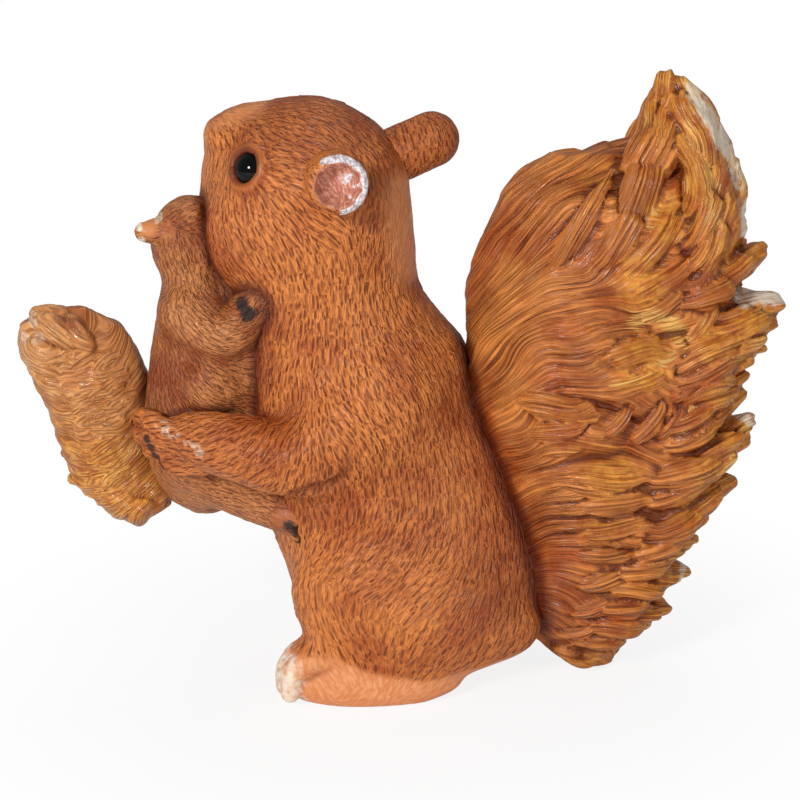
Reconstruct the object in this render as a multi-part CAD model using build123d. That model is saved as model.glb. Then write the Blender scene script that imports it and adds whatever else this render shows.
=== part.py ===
from build123d import *
import os
from math import asin, cos, pi, radians, sin

os.makedirs("parts", exist_ok=True)

# The figurine faces -X and rests on Z = 0. Its left side is towards -Y.
# Overall sizes of the mother
MOTHER_HEIGHT = 155.0
TRUNK_LENGTH = 70.0
TRUNK_WIDTH = 55.0

# Head of the mother, turned to its right and bent down over the young one
SKULL_LENGTH = 54.0
SKULL_WIDTH = 44.0
SKULL_HEIGHT = 49.0
FACE_LENGTH = 29.0
FACE_WIDTH = 31.0
FACE_HEIGHT = 31.0
MUZZLE_ROOT_RADIUS = 12.0
MUZZLE_TIP_RADIUS = 7.5
BROW_LENGTH = 15.0
BROW_WIDTH = 30.0
BROW_HEIGHT = 14.0
HEAD_TURN = 32.0

# Ears of the mother: furry stubs that end in a cup
LEFT_EAR_LENGTH = 9.0
RIGHT_EAR_LENGTH = 12.5
EAR_SINK = 4.0
EAR_ROOT_RADIUS = 6.4
EAR_RIM_RADIUS = 7.4
EAR_RIM_ROUND = 0.7
EAR_CUP_RADIUS = 6.0
EAR_CUP_DEPTH = 4.5
EAR_TENON_RADIUS = 2.5
EAR_TENON_LENGTH = 6.0

# Eyes: domed glass cabochons on a short shank
EYE_RADIUS = 4.2
EYE_DOME_HEIGHT = 2.6
EYE_GIRDLE = 1.2
EYE_INSET = 0.6
EYE_SHANK_RADIUS = 1.3
EYE_SHANK_LENGTH = 4.0
BABY_EYE_RADIUS = 2.0
BABY_EYE_DOME_HEIGHT = 1.3
BABY_EYE_GIRDLE = 0.8
BABY_EYE_SHANK_RADIUS = 0.8
BABY_EYE_SHANK_LENGTH = 2.5

# Haunches and hind feet of the mother
HAUNCH_LENGTH = 56.0
HAUNCH_WIDTH = 29.0
HAUNCH_HEIGHT = 43.0
HAUNCH_TILT = 12.0
HEEL_RADIUS = 6.5
BALL_RADIUS = 8.5
TOE_END_RADIUS = 6.5
TOE_COUNT = 4
TOE_PITCH = 3.6
TOE_GAP = 0.8

# Arms of the mother, which hold the young one from both sides
SHOULDER_RADIUS = 14.0
UPPER_ARM_RADIUS = 12.0
ELBOW_RADIUS = 9.8
FOREARM_RADIUS = 8.0
WRIST_RADIUS = 7.0
HAND_RADIUS = 6.8
FINGER_END_RADIUS = 4.6
FINGER_COUNT = 4
FINGER_PITCH = 3.0
FINGER_GAP = 0.7
FINGER_TURN = 60.0

# Tail of the mother, a thick brush of overlapping locks
TAIL_HEIGHT = 158.0
TAIL_LENGTH = 75.0
TAIL_THICKNESS = 38.0

# The young squirrel
BABY_HEIGHT = 84.0
BABY_LENGTH = 29.0
BABY_WIDTH = 26.0
BABY_HEAD_LENGTH = 21.0
BABY_HEAD_WIDTH = 20.0
BABY_HEAD_HEIGHT = 23.0
BABY_EAR_ROOT_RADIUS = 4.2
BABY_EAR_TIP_RADIUS = 2.2
BABY_MUZZLE_ROOT_RADIUS = 7.5
BABY_MUZZLE_TIP_RADIUS = 4.5
BABY_SHOULDER_RADIUS = 7.5
BABY_FOREARM_RADIUS = 6.2
BABY_PAW_RADIUS = 5.0
BABY_THIGH_RADIUS = 8.5
BABY_SHIN_RADIUS = 6.2
BABY_FOOT_RADIUS = 4.6
BABY_HIP_LENGTH = 18.0
BABY_HIP_WIDTH = 16.0
BABY_HIP_HEIGHT = 17.0
BABY_TAIL_HEIGHT = 59.0
BABY_TAIL_LENGTH = 31.0
BABY_TAIL_THICKNESS = 20.0

# Steel pins that hold the castings together, and the fits
TAIL_PIN_RADIUS = 2.0
TAIL_PIN_LENGTH = 24.0
ARM_PIN_RADIUS = 1.5
ARM_PIN_LENGTH = 10.0
BABY_PIN_RADIUS = 1.5
BABY_PIN_LENGTH = 16.0
FOOT_PIN_RADIUS = 1.2
FOOT_PIN_LENGTH = 8.0
BABY_TAIL_PIN_LENGTH = 10.0
PIN_CLEARANCE = 0.15
GLUE_GAP = 0.15
EYE_FIT = 0.15

# Trunk, from the seat up into the head:
# height, centre along X, half length, half width, as shares of
# MOTHER_HEIGHT, TRUNK_LENGTH, TRUNK_LENGTH and TRUNK_WIDTH
TRUNK_SHARES = [
    (0.018, 0.03, 0.20, 0.22),
    (0.045, 0.03, 0.36, 0.36),
    (0.12, 0.05, 0.48, 0.46),
    (0.20, 0.03, 0.503, 0.50),
    (0.27, -0.01, 0.50, 0.49),
    (0.34, -0.055, 0.487, 0.47),
    (0.415, -0.095, 0.467, 0.45),
    (0.485, -0.135, 0.435, 0.43),
    (0.555, -0.172, 0.41, 0.41),
    (0.625, -0.198, 0.375, 0.39),
    (0.68, -0.23, 0.345, 0.38),
    (0.745, -0.265, 0.34, 0.37),
    (0.81, -0.28, 0.30, 0.33),
    (0.86, -0.28, 0.20, 0.24),
]

# Places on the mother as shares of TRUNK_LENGTH, TRUNK_WIDTH and MOTHER_HEIGHT
SKULL_SHARES = (-0.295, 0.01, 0.842)
FACE_SHARES = (-0.49, 0.14, 0.875)
MUZZLE_SHARES = [(-0.53, 0.19, 0.80), (-0.67, 0.40, 0.715)]
BROW_SHARES = (-0.53, 0.12, 0.93)
HAUNCH_SHARES = (-0.01, 0.31, 0.165)
FOOT_SHARES = [(0.10, 0.33, 0.040), (-0.20, 0.34, 0.046), (-0.385, 0.34, 0.034)]
ARM_SHARES = [
    (-0.04, 0.26, 0.515),
    (-0.20, 0.36, 0.46),
    (-0.37, 0.415, 0.428),
    (-0.57, 0.39, 0.44),
    (-0.76, 0.31, 0.465),
    (-0.87, 0.21, 0.485),
    (-0.92, 0.09, 0.488),
]
KNUCKLE_SHARES = (-0.87, 0.24, 0.485)

# Rings of the cup in an ear, from its floor up past its mouth: depth and
# radius as shares of EAR_CUP_DEPTH and EAR_CUP_RADIUS
EAR_CUP_SHARES = [(1.0, 0.3), (0.8, 0.65), (0.4, 0.9), (0.0, 1.0), (-0.3, 1.05)]

# Ear and eye places on the skull's surface before the head turns: back from
# its middle and up, as shares of SKULL_LENGTH and SKULL_HEIGHT. An ear leans
# back from straight out, and up, in degrees.
EAR_SHARES = (0.36, 0.14)
EAR_LEAN_BACK = 46.0
LEFT_EAR_LEAN_UP = 3.0
RIGHT_EAR_LEAN_UP = 12.0
EYE_SHARES = (-0.04, 0.19)

# Pins, in the mother's shares
TAIL_PIN_SHARES = [(0.54, 0.0, 0.14), (0.47, 0.0, 0.31)]
ARM_PIN_SHARES = (-0.12, 0.44, 0.49)
FOOT_PIN_SHARES = (-0.07, 0.30, 0.05)
BABY_PIN_SHARES = (-0.56, -0.03, 0.46)
BABY_TAIL_PIN_SHARES = (-0.95, -0.03, 0.40)

# Core of the tail, from the seat up: the same four shares as the trunk, of
# TAIL_HEIGHT, TAIL_LENGTH, TAIL_LENGTH and TAIL_THICKNESS
TAIL_SHARES = [
    (-0.006, 0.64, 0.07, 0.09),
    (0.02, 0.61, 0.13, 0.15),
    (0.06, 0.60, 0.20, 0.28),
    (0.14, 0.61, 0.25, 0.40),
    (0.25, 0.65, 0.30, 0.46),
    (0.37, 0.66, 0.37, 0.49),
    (0.48, 0.66, 0.43, 0.50),
    (0.575, 0.695, 0.45, 0.50),
    (0.66, 0.70, 0.455, 0.48),
    (0.75, 0.71, 0.42, 0.44),
    (0.82, 0.72, 0.37, 0.38),
    (0.865, 0.73, 0.30, 0.28),
    (0.885, 0.73, 0.18, 0.15),
]
# Locks that make the tail's jagged rear rim, from the crest down. Each has four
# places from its root to its tip, back and up as shares of TAIL_LENGTH and
# TAIL_HEIGHT, and then its half breadth as a share of TAIL_LENGTH.
RIM_LOCK_SHARES = [
    ((0.74, 0.76), (0.84, 0.86), (0.905, 0.93), (0.915, 1.0), 0.12),
    ((0.95, 0.78), (1.02, 0.86), (1.02, 0.92), (0.95, 0.985), 0.065),
    ((0.93, 0.74), (1.04, 0.80), (1.085, 0.855), (1.07, 0.91), 0.06),
    ((0.93, 0.71), (1.06, 0.75), (1.12, 0.80), (1.13, 0.85), 0.055),
    ((0.92, 0.69), (1.05, 0.71), (1.12, 0.75), (1.15, 0.81), 0.05),
    ((0.90, 0.67), (1.03, 0.68), (1.13, 0.70), (1.205, 0.74), 0.06),
    ((0.90, 0.55), (1.04, 0.60), (1.17, 0.625), (1.30, 0.635), 0.065),
    ((0.92, 0.53), (1.06, 0.565), (1.17, 0.58), (1.27, 0.585), 0.05),
    ((0.90, 0.50), (1.02, 0.53), (1.12, 0.55), (1.22, 0.555), 0.045),
    ((0.88, 0.45), (1.0, 0.475), (1.08, 0.49), (1.16, 0.505), 0.055),
    ((0.88, 0.43), (0.98, 0.44), (1.07, 0.455), (1.16, 0.475), 0.045),
    ((0.82, 0.37), (0.96, 0.385), (1.08, 0.40), (1.195, 0.425), 0.065),
    ((0.82, 0.34), (0.95, 0.35), (1.06, 0.37), (1.17, 0.395), 0.05),
    ((0.80, 0.28), (0.92, 0.29), (1.02, 0.305), (1.11, 0.325), 0.055),
    ((0.78, 0.25), (0.88, 0.26), (0.97, 0.27), (1.06, 0.285), 0.05),
    ((0.72, 0.22), (0.82, 0.225), (0.91, 0.225), (0.99, 0.225), 0.045),
    ((0.70, 0.19), (0.80, 0.19), (0.89, 0.18), (0.97, 0.17), 0.04),
    ((0.66, 0.16), (0.75, 0.155), (0.83, 0.15), (0.90, 0.15), 0.045),
    ((0.64, 0.12), (0.73, 0.12), (0.81, 0.115), (0.89, 0.11), 0.05),
    ((0.58, 0.09), (0.67, 0.085), (0.75, 0.08), (0.83, 0.08), 0.045),
    ((0.52, 0.06), (0.59, 0.05), (0.65, 0.04), (0.71, 0.035), 0.045),
]
# Locks that lie on each flank, given in the same way
SIDE_LOCK_SHARES = [
    ((0.48, 0.68), (0.58, 0.74), (0.66, 0.80), (0.74, 0.86), 0.06),
    ((0.60, 0.69), (0.70, 0.73), (0.79, 0.79), (0.86, 0.86), 0.055),
    ((0.66, 0.68), (0.80, 0.72), (0.92, 0.77), (0.99, 0.83), 0.055),
    ((0.70, 0.65), (0.84, 0.68), (0.96, 0.71), (1.05, 0.75), 0.05),
    ((0.55, 0.60), (0.68, 0.615), (0.80, 0.62), (0.93, 0.605), 0.045),
    ((0.60, 0.55), (0.72, 0.57), (0.84, 0.585), (0.95, 0.575), 0.06),
    ((0.60, 0.525), (0.72, 0.525), (0.84, 0.535), (0.92, 0.55), 0.05),
    ((0.35, 0.50), (0.48, 0.50), (0.60, 0.49), (0.69, 0.505), 0.06),
    ((0.38, 0.44), (0.49, 0.45), (0.60, 0.465), (0.72, 0.50), 0.05),
    ((0.60, 0.43), (0.70, 0.45), (0.76, 0.48), (0.78, 0.52), 0.045),
    ((0.68, 0.42), (0.79, 0.44), (0.86, 0.48), (0.89, 0.52), 0.045),
    ((0.78, 0.42), (0.88, 0.44), (0.96, 0.48), (1.0, 0.52), 0.045),
    ((0.50, 0.375), (0.62, 0.38), (0.75, 0.37), (0.90, 0.37), 0.055),
    ((0.52, 0.33), (0.65, 0.33), (0.78, 0.33), (0.92, 0.35), 0.055),
    ((0.52, 0.28), (0.64, 0.28), (0.76, 0.29), (0.88, 0.31), 0.05),
    ((0.52, 0.24), (0.62, 0.24), (0.72, 0.24), (0.85, 0.25), 0.05),
    ((0.52, 0.19), (0.62, 0.19), (0.72, 0.20), (0.82, 0.205), 0.05),
    ((0.50, 0.14), (0.60, 0.14), (0.70, 0.15), (0.80, 0.165), 0.045),
    ((0.48, 0.09), (0.56, 0.09), (0.66, 0.10), (0.76, 0.12), 0.045),
]
# Half thickness of a rim lock as a share of TAIL_THICKNESS, and how thick a
# side lock is for its breadth
RIM_LOCK_THICKNESS_SHARE = 0.16
SIDE_LOCK_FLATNESS_SHARE = 0.7
# A side lock's middle lies this share of the core's half width out
SIDE_LOCK_SEAT_SHARE = 0.93
# Every second rim lock has a shorter one on each flank: place across as a share
# of TAIL_THICKNESS, and length as a share of the rim lock's
FLANK_LOCK_ACROSS_SHARE = 0.24
FLANK_LOCK_LENGTH_SHARE = 0.86
# Distance along a lock and its size there, as shares of its length and breadth
LOCK_STATION_SHARES = ((0.0, 0.6), (0.35, 1.0), (0.7, 0.9), (0.92, 0.5))

# Torso of the young squirrel, from the rump up: height, centre along X, half
# length and half width, as shares of BABY_HEIGHT, BABY_LENGTH, BABY_LENGTH
# and BABY_WIDTH, counted from the rump
BABY_TORSO_SHARES = [
    (0.0, 0.02, 0.14, 0.15),
    (0.05, 0.02, 0.36, 0.36),
    (0.16, 0.0, 0.48, 0.48),
    (0.33, -0.01, 0.47, 0.50),
    (0.50, 0.03, 0.42, 0.46),
    (0.63, 0.06, 0.36, 0.40),
    (0.75, 0.04, 0.31, 0.35),
    (0.83, 0.03, 0.26, 0.30),
]
# The rump's place on the mother, in the mother's shares
RUMP_SHARES = (-0.75, -0.03, 0.30)
# Places on the young squirrel from the rump up, as shares of BABY_LENGTH,
# BABY_WIDTH and BABY_HEIGHT
BABY_HEAD_SHARES = (0.04, -0.02, 0.87)
BABY_MUZZLE_SHARES = [(0.0, 0.16, 0.855), (-0.07, 0.50, 0.83)]
BABY_EAR_SHARES = [
    [(-0.16, -0.12, 0.90), (-0.36, -0.20, 0.925)],
    [(0.10, -0.20, 0.955), (0.12, -0.30, 0.99)],
]
BABY_ARM_SHARES = [(0.02, 0.30, 0.66), (0.40, 0.46, 0.60), (0.68, 0.42, 0.69)]
BABY_LEG_SHARES = [(-0.02, 0.26, 0.22), (0.42, 0.34, 0.075), (0.88, 0.52, 0.015)]
BABY_HIP_SHARES = (0.20, 0.32, 0.45)
# The young squirrel looks along this angle from +X, in degrees. Its right eye
# lies against the mother's cheek, so only the left one is a piece of its own.
# The eye's angle is from +X too, and its height is a share of the head's.
BABY_EYE_ANGLE = 147.0
BABY_EYE_HEIGHT_SHARE = 0.12

# Tail of the young squirrel, from its lower end up: the same four shares as
# the trunk, of BABY_TAIL_HEIGHT, BABY_TAIL_LENGTH, BABY_TAIL_LENGTH and
# BABY_TAIL_THICKNESS
BABY_TAIL_SHARES = [
    (0.0, 0.30, 0.04, 0.12),
    (0.07, 0.32, 0.22, 0.30),
    (0.22, 0.14, 0.36, 0.44),
    (0.38, 0.06, 0.38, 0.50),
    (0.54, 0.04, 0.42, 0.50),
    (0.68, 0.0, 0.47, 0.47),
    (0.82, -0.07, 0.50, 0.40),
    (0.93, -0.11, 0.42, 0.27),
    (1.0, -0.14, 0.16, 0.08),
]
# The lower end of the young squirrel's tail, in the mother's shares
BABY_TAIL_ROOT_SHARES = (-1.16, 0.0, 0.275)

# Sides of the carved forms
BODY_SIDES = 16
LIMB_SIDES = 10
SMALL_BODY_SIDES = 12
SMALL_LIMB_SIDES = 8
EGG_BANDS = 8
LOCK_SIDES = 6
OVERRUN = 20.0
# Round ends of a limb: reach of each ring past the last place, and its size,
# as shares of the radius there
CAP_SHARES = ((0.5, 0.87), (0.87, 0.5))
# A direction that no limb runs along, which sets where its rings begin
RING_TOP = (0.1, 0.25, 1.0)

# The two sides of the animals, as signs along Y
SIDES = {"left": -1, "right": 1}


def on_mother(shares, side=1):
    """A place on the mother, in mm: side -1 mirrors it to the left."""
    along, across, up = shares
    return Vector(along * TRUNK_LENGTH, side * across * TRUNK_WIDTH, up * MOTHER_HEIGHT)


def on_baby(shares, side=1):
    """A place on the young squirrel, counted from its rump."""
    along, across, up = shares
    offset = Vector(along * BABY_LENGTH, side * across * BABY_WIDTH, up * BABY_HEIGHT)
    return on_mother(RUMP_SHARES) + offset


def ring(plane, half_length, half_width, sides):
    """A closed many-sided oval on a plane."""
    corners = []
    for number in range(sides):
        angle = 2 * pi * (number + 0.5) / sides
        corners.append(plane.from_local_coords((half_length * cos(angle), half_width * sin(angle))))
    return Wire.make_polygon(corners)


def egg(centre, lengths, turn=(0, 0, 0), grow=0, sides=BODY_SIDES):
    """An ellipsoid of three full lengths, carved in flat facets."""
    half_length, half_width, half_height = [length / 2 + grow for length in lengths]
    sections = [Vertex(0, 0, -half_height)]
    for number in range(1, EGG_BANDS):
        angle = pi * (number / EGG_BANDS - 0.5)
        plane = Plane(origin=(0, 0, half_height * sin(angle)))
        sections.append(ring(plane, half_length * cos(angle), half_width * cos(angle), sides))
    sections.append(Vertex(0, 0, half_height))
    return Location(centre, turn) * Solid.make_loft(sections, ruled=True)


def limb(places, radii, grow=0, sides=LIMB_SIDES):
    """A limb with round ends through places, with a radius at each."""
    path = Edge.make_spline(places) if len(places) > 2 else Edge.make_line(*places)
    last = len(places) - 1
    stations = []
    for number, radius in enumerate(radii):
        along = number / last
        stations.append((path @ along, path % along, radius + grow))
    start, start_heading, start_radius = stations[0]
    end, end_heading, end_radius = stations[-1]
    for reach, size in CAP_SHARES:
        before = start - start_heading * reach * start_radius
        stations.insert(0, (before, start_heading, size * start_radius))
        beyond = end + end_heading * reach * end_radius
        stations.append((beyond, end_heading, size * end_radius))
    sections = [Vertex(*(start - start_heading * start_radius))]
    for place, heading, radius in stations:
        plane = Plane(origin=place, x_dir=heading.cross(Vector(*RING_TOP)), z_dir=heading)
        sections.append(ring(plane, radius, radius, sides))
    sections.append(Vertex(*(end + end_heading * end_radius)))
    return Solid.make_loft(sections, ruled=True)


def station_loft(shares, base, height, length, width, grow=0, sides=BODY_SIDES):
    """A body through level ovals. grow moves its whole skin outward."""
    rings = []
    last = len(shares) - 1
    for number, (up, along, half_length, half_width) in enumerate(shares):
        level = up * height
        if number == 0:
            level -= grow
        if number == last:
            level += grow
        plane = Plane(origin=base + Vector(along * length, 0, level))
        rings.append(
            ring(plane, half_length * length + grow, half_width * width + grow, sides)
        )
    return Solid.make_loft(rings, ruled=True)


def on_skull(shares, side):
    """A place on the skull's surface, and the direction square to it there."""
    along, up = shares
    across = side * (0.25 - along**2 - up**2) ** 0.5
    offset = Vector(along * SKULL_LENGTH, across * SKULL_WIDTH, up * SKULL_HEIGHT)
    square = Vector(along / SKULL_LENGTH, across / SKULL_WIDTH, up / SKULL_HEIGHT)
    place = on_mother(SKULL_SHARES) + offset.rotate(Axis.Z, -HEAD_TURN)
    return place, square.rotate(Axis.Z, -HEAD_TURN).normalized()


def mother_head(grow=0):
    turn = (0, 0, -HEAD_TURN)
    skull = egg(on_mother(SKULL_SHARES), (SKULL_LENGTH, SKULL_WIDTH, SKULL_HEIGHT), turn, grow)
    face = egg(on_mother(FACE_SHARES), (FACE_LENGTH, FACE_WIDTH, FACE_HEIGHT), turn, grow)
    muzzle_places = [on_mother(shares) for shares in MUZZLE_SHARES]
    muzzle = limb(muzzle_places, (MUZZLE_ROOT_RADIUS, MUZZLE_TIP_RADIUS), grow)
    brow = egg(on_mother(BROW_SHARES), (BROW_LENGTH, BROW_WIDTH, BROW_HEIGHT), turn, grow)
    return skull + face + muzzle + brow


def haunch(side, grow=0):
    lengths = (HAUNCH_LENGTH, HAUNCH_WIDTH, HAUNCH_HEIGHT)
    return egg(on_mother(HAUNCH_SHARES, side), lengths, (0, HAUNCH_TILT, 0), grow)


def mother_form(grow=0):
    """Trunk, haunches and head of the mother in one casting."""
    trunk = station_loft(
        TRUNK_SHARES, Vector(0, 0, 0), MOTHER_HEIGHT, TRUNK_LENGTH, TRUNK_WIDTH, grow
    )
    return trunk + haunch(-1, grow) + haunch(1, grow) + mother_head(grow)


def ear_plane(side):
    """Plane at the root of an ear, with Z along the ear, away from the head."""
    root, _ = on_skull(EAR_SHARES, side)
    back = radians(EAR_LEAN_BACK)
    up = radians(LEFT_EAR_LEAN_UP if side < 0 else RIGHT_EAR_LEAN_UP)
    heading = Vector(sin(back) * cos(up), side * cos(back) * cos(up), sin(up))
    return Plane(origin=root, z_dir=heading.rotate(Axis.Z, -HEAD_TURN))


def ear_tenon(side, grow=0):
    """The round peg that holds an ear in the head."""
    peg = Cylinder(
        EAR_TENON_RADIUS + grow,
        EAR_SINK + EAR_TENON_LENGTH + grow,
        align=(Align.CENTER, Align.CENTER, Align.MAX),
    )
    return ear_plane(side).location * peg


def stack(stations, sides):
    """A straight form along Z through round rings of a level and a radius."""
    rings = []
    for level, radius in stations:
        rings.append(ring(Plane(origin=(0, 0, level)), radius, radius, sides))
    return Solid.make_loft(rings, ruled=True)


def mother_ear(side, length):
    """A furry stub with a cup in its end, on its peg."""
    stub_stations = [
        (-EAR_SINK, EAR_ROOT_RADIUS),
        (length - EAR_RIM_ROUND, EAR_RIM_RADIUS),
        (length, EAR_RIM_RADIUS - EAR_RIM_ROUND),
    ]
    cup_stations = []
    for depth, radius in EAR_CUP_SHARES:
        cup_stations.append((length - depth * EAR_CUP_DEPTH, radius * EAR_CUP_RADIUS))
    ear = stack(stub_stations, SMALL_BODY_SIDES) - stack(cup_stations, SMALL_BODY_SIDES)
    return ear_plane(side).location * ear + ear_tenon(side)


def slots(place, count, pitch, width, turn=(0, 0, 0)):
    """Thin gaps side by side between fingers or toes, in front of a place."""
    gaps = []
    for number in range(count):
        across = (number - (count - 1) / 2) * pitch
        gap = Box(OVERRUN, width, OVERRUN, align=(Align.MAX, Align.CENTER, Align.CENTER))
        gaps.append(Location(place, turn) * Location((0, across, 0)) * gap)
    return gaps


def arm_form(side, grow=0):
    """Upper arm, forearm, and a hand that curls round the young one."""
    places = [on_mother(shares, side) for shares in ARM_SHARES]
    radii = (
        SHOULDER_RADIUS,
        UPPER_ARM_RADIUS,
        ELBOW_RADIUS,
        FOREARM_RADIUS,
        WRIST_RADIUS,
        HAND_RADIUS,
        FINGER_END_RADIUS,
    )
    return limb(places, radii, grow)


def finger_gaps(side):
    """Gaps between the fingers, from the knuckles to their ends."""
    knuckles = on_mother(KNUCKLE_SHARES, side)
    return slots(knuckles, FINGER_COUNT - 1, FINGER_PITCH, FINGER_GAP, (90, 0, -side * FINGER_TURN))


def foot_form(side):
    """A long hind foot with a gap between each two toes."""
    places = [on_mother(shares, side) for shares in FOOT_SHARES]
    foot = limb(places, (HEEL_RADIUS, BALL_RADIUS, TOE_END_RADIUS))
    toe_roots = places[-1] + Vector(TOE_END_RADIUS / 2, 0, 0)
    return foot.cut(*slots(toe_roots, TOE_COUNT - 1, TOE_PITCH, TOE_GAP))


def small_limb(place_shares, radii, side, grow):
    """A limb of the young squirrel."""
    places = [on_baby(shares, side) for shares in place_shares]
    return limb(places, radii, grow, SMALL_LIMB_SIDES)


def baby_form(grow=0):
    """Torso, head, ears and limbs of the young squirrel in one casting."""
    body = station_loft(
        BABY_TORSO_SHARES,
        on_mother(RUMP_SHARES),
        BABY_HEIGHT,
        BABY_LENGTH,
        BABY_WIDTH,
        grow,
        SMALL_BODY_SIDES,
    )
    head_lengths = (BABY_HEAD_LENGTH, BABY_HEAD_WIDTH, BABY_HEAD_HEIGHT)
    head_place = on_baby(BABY_HEAD_SHARES)
    body += egg(head_place, head_lengths, (0, 0, 0), grow, SMALL_BODY_SIDES)
    muzzle_radii = (BABY_MUZZLE_ROOT_RADIUS, BABY_MUZZLE_TIP_RADIUS)
    body += small_limb(BABY_MUZZLE_SHARES, muzzle_radii, 1, grow)
    for ear_shares in BABY_EAR_SHARES:
        body += small_limb(ear_shares, (BABY_EAR_ROOT_RADIUS, BABY_EAR_TIP_RADIUS), 1, grow)
    arm_radii = (BABY_SHOULDER_RADIUS, BABY_FOREARM_RADIUS, BABY_PAW_RADIUS)
    leg_radii = (BABY_THIGH_RADIUS, BABY_SHIN_RADIUS, BABY_FOOT_RADIUS)
    hip_lengths = (BABY_HIP_LENGTH, BABY_HIP_WIDTH, BABY_HIP_HEIGHT)
    for side in SIDES.values():
        hip_place = on_baby(BABY_HIP_SHARES, side)
        body += egg(hip_place, hip_lengths, (0, 0, 0), grow, SMALL_LIMB_SIDES)
        body += small_limb(BABY_ARM_SHARES, arm_radii, side, grow)
        body += small_limb(BABY_LEG_SHARES, leg_radii, side, grow)
    return body


def baby_tail_form():
    return station_loft(
        BABY_TAIL_SHARES,
        on_mother(BABY_TAIL_ROOT_SHARES),
        BABY_TAIL_HEIGHT,
        BABY_TAIL_LENGTH,
        BABY_TAIL_THICKNESS,
        sides=SMALL_BODY_SIDES,
    )


def seat_block():
    """Everything on the young squirrel's side of the flat seat of its tail."""
    size = 2 * BABY_HEIGHT
    block = Box(size, size, size, align=(Align.MIN, Align.CENTER, Align.CENTER))
    return Location(on_mother(BABY_TAIL_PIN_SHARES)) * block


def lock(places, half_breadth, half_thickness):
    """One lock of the tail: a curved leaf that thins to its tip."""
    path = Edge.make_spline(places)
    sections = []
    for along, size in LOCK_STATION_SHARES:
        plane = Plane(origin=path @ along, x_dir=(0, 1, 0), z_dir=path % along)
        sections.append(ring(plane, size * half_thickness, size * half_breadth, LOCK_SIDES))
    sections.append(Vertex(*(path @ 1.0)))
    return Solid.make_loft(sections, ruled=True)


def on_tail(shares, across=0):
    """A place on the tail, in mm."""
    along, up = shares
    return Vector(along * TAIL_LENGTH, across * TAIL_THICKNESS, up * TAIL_HEIGHT)


def core_half_width(along, up):
    """Half width of the tail's core at a place, as a share of TAIL_THICKNESS."""
    for low, high in zip(TAIL_SHARES, TAIL_SHARES[1:]):
        if low[0] <= up <= high[0]:
            share = (up - low[0]) / (high[0] - low[0])
            middle, half_length, half_width = [
                a + share * (b - a) for a, b in zip(low[1:], high[1:])
            ]
            return half_width * max(1 - ((along - middle) / half_length) ** 2, 0) ** 0.5
    return 0


def rim_locks():
    """Locks of the rear rim, with shorter ones beside every second of them."""
    locks = []
    for number, (*place_shares, breadth_share) in enumerate(RIM_LOCK_SHARES):
        half_breadth = breadth_share * TAIL_LENGTH
        half_thickness = RIM_LOCK_THICKNESS_SHARE * TAIL_THICKNESS
        places = [on_tail(shares) for shares in place_shares]
        locks.append(lock(places, half_breadth, half_thickness))
        if number % 2 == 0:
            for side in SIDES.values():
                root = on_tail(place_shares[0], side * FLANK_LOCK_ACROSS_SHARE)
                shorter = [
                    root + (place - places[0]) * FLANK_LOCK_LENGTH_SHARE for place in places
                ]
                locks.append(lock(shorter, half_breadth, half_thickness))
    return locks


def side_locks():
    """Locks that lie on the flanks of the core."""
    locks = []
    for *place_shares, breadth_share in SIDE_LOCK_SHARES:
        half_breadth = breadth_share * TAIL_LENGTH
        half_thickness = SIDE_LOCK_FLATNESS_SHARE * half_breadth
        for side in SIDES.values():
            places = []
            for shares in place_shares:
                across = side * SIDE_LOCK_SEAT_SHARE * core_half_width(*shares)
                places.append(on_tail(shares, across))
            locks.append(lock(places, half_breadth, half_thickness))
    return locks


def tail_form():
    """Core of the tail with its locks."""
    core = station_loft(
        TAIL_SHARES, Vector(0, 0, 0), TAIL_HEIGHT, TAIL_LENGTH, TAIL_THICKNESS
    )
    return core.fuse(*rim_locks(), *side_locks())


def eye(radius, dome_height, girdle, shank_radius, shank_length, grow=0):
    """A domed cabochon on its shank. Z points out of the head."""
    dome_radius = (radius**2 + dome_height**2) / (2 * dome_height)
    ball = Location((0, 0, dome_height - dome_radius)) * Sphere(dome_radius)
    disc = Cylinder(radius, dome_height, align=(Align.CENTER, Align.CENTER, Align.MIN))
    rim = Cylinder(radius + grow, girdle + grow, align=(Align.CENTER, Align.CENTER, Align.MAX))
    shank = Cylinder(
        shank_radius + grow,
        girdle + shank_length + grow,
        align=(Align.CENTER, Align.CENTER, Align.MAX),
    )
    return (ball & disc) + rim + shank


def eye_socket(radius, girdle, shank_radius, shank_length):
    """The pocket for an eye, open outward past the dome."""
    bore = Cylinder(radius + EYE_FIT, OVERRUN, align=(Align.CENTER, Align.CENTER, Align.MIN))
    seat = Cylinder(
        radius + EYE_FIT, girdle + EYE_FIT, align=(Align.CENTER, Align.CENTER, Align.MAX)
    )
    hole = Cylinder(
        shank_radius + EYE_FIT,
        girdle + shank_length + EYE_FIT,
        align=(Align.CENTER, Align.CENTER, Align.MAX),
    )
    return bore + seat + hole


def mother_eye_location(side):
    """The eye's girdle top lies EYE_INSET under the skull's surface."""
    place, square = on_skull(EYE_SHARES, side)
    return Plane(origin=place - square * EYE_INSET, z_dir=square).location


def baby_eye_location():
    """On the surface of the young squirrel's egg-shaped head."""
    angle = radians(BABY_EYE_ANGLE)
    level = (0.25 - BABY_EYE_HEIGHT_SHARE**2) ** 0.5
    shares = (level * cos(angle), level * sin(angle), BABY_EYE_HEIGHT_SHARE)
    lengths = (BABY_HEAD_LENGTH, BABY_HEAD_WIDTH, BABY_HEAD_HEIGHT)
    offset = Vector(*[share * length for share, length in zip(shares, lengths)])
    square = Vector(*[share / length for share, length in zip(shares, lengths)])
    return Plane(origin=on_baby(BABY_HEAD_SHARES) + offset, z_dir=square).location


def carve(form, *cuts):
    """What is left of a form outside its neighbours, without loose slivers."""
    left = form.cut(*cuts)
    return left.solids().sort_by(SortBy.VOLUME)[-1]


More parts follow.
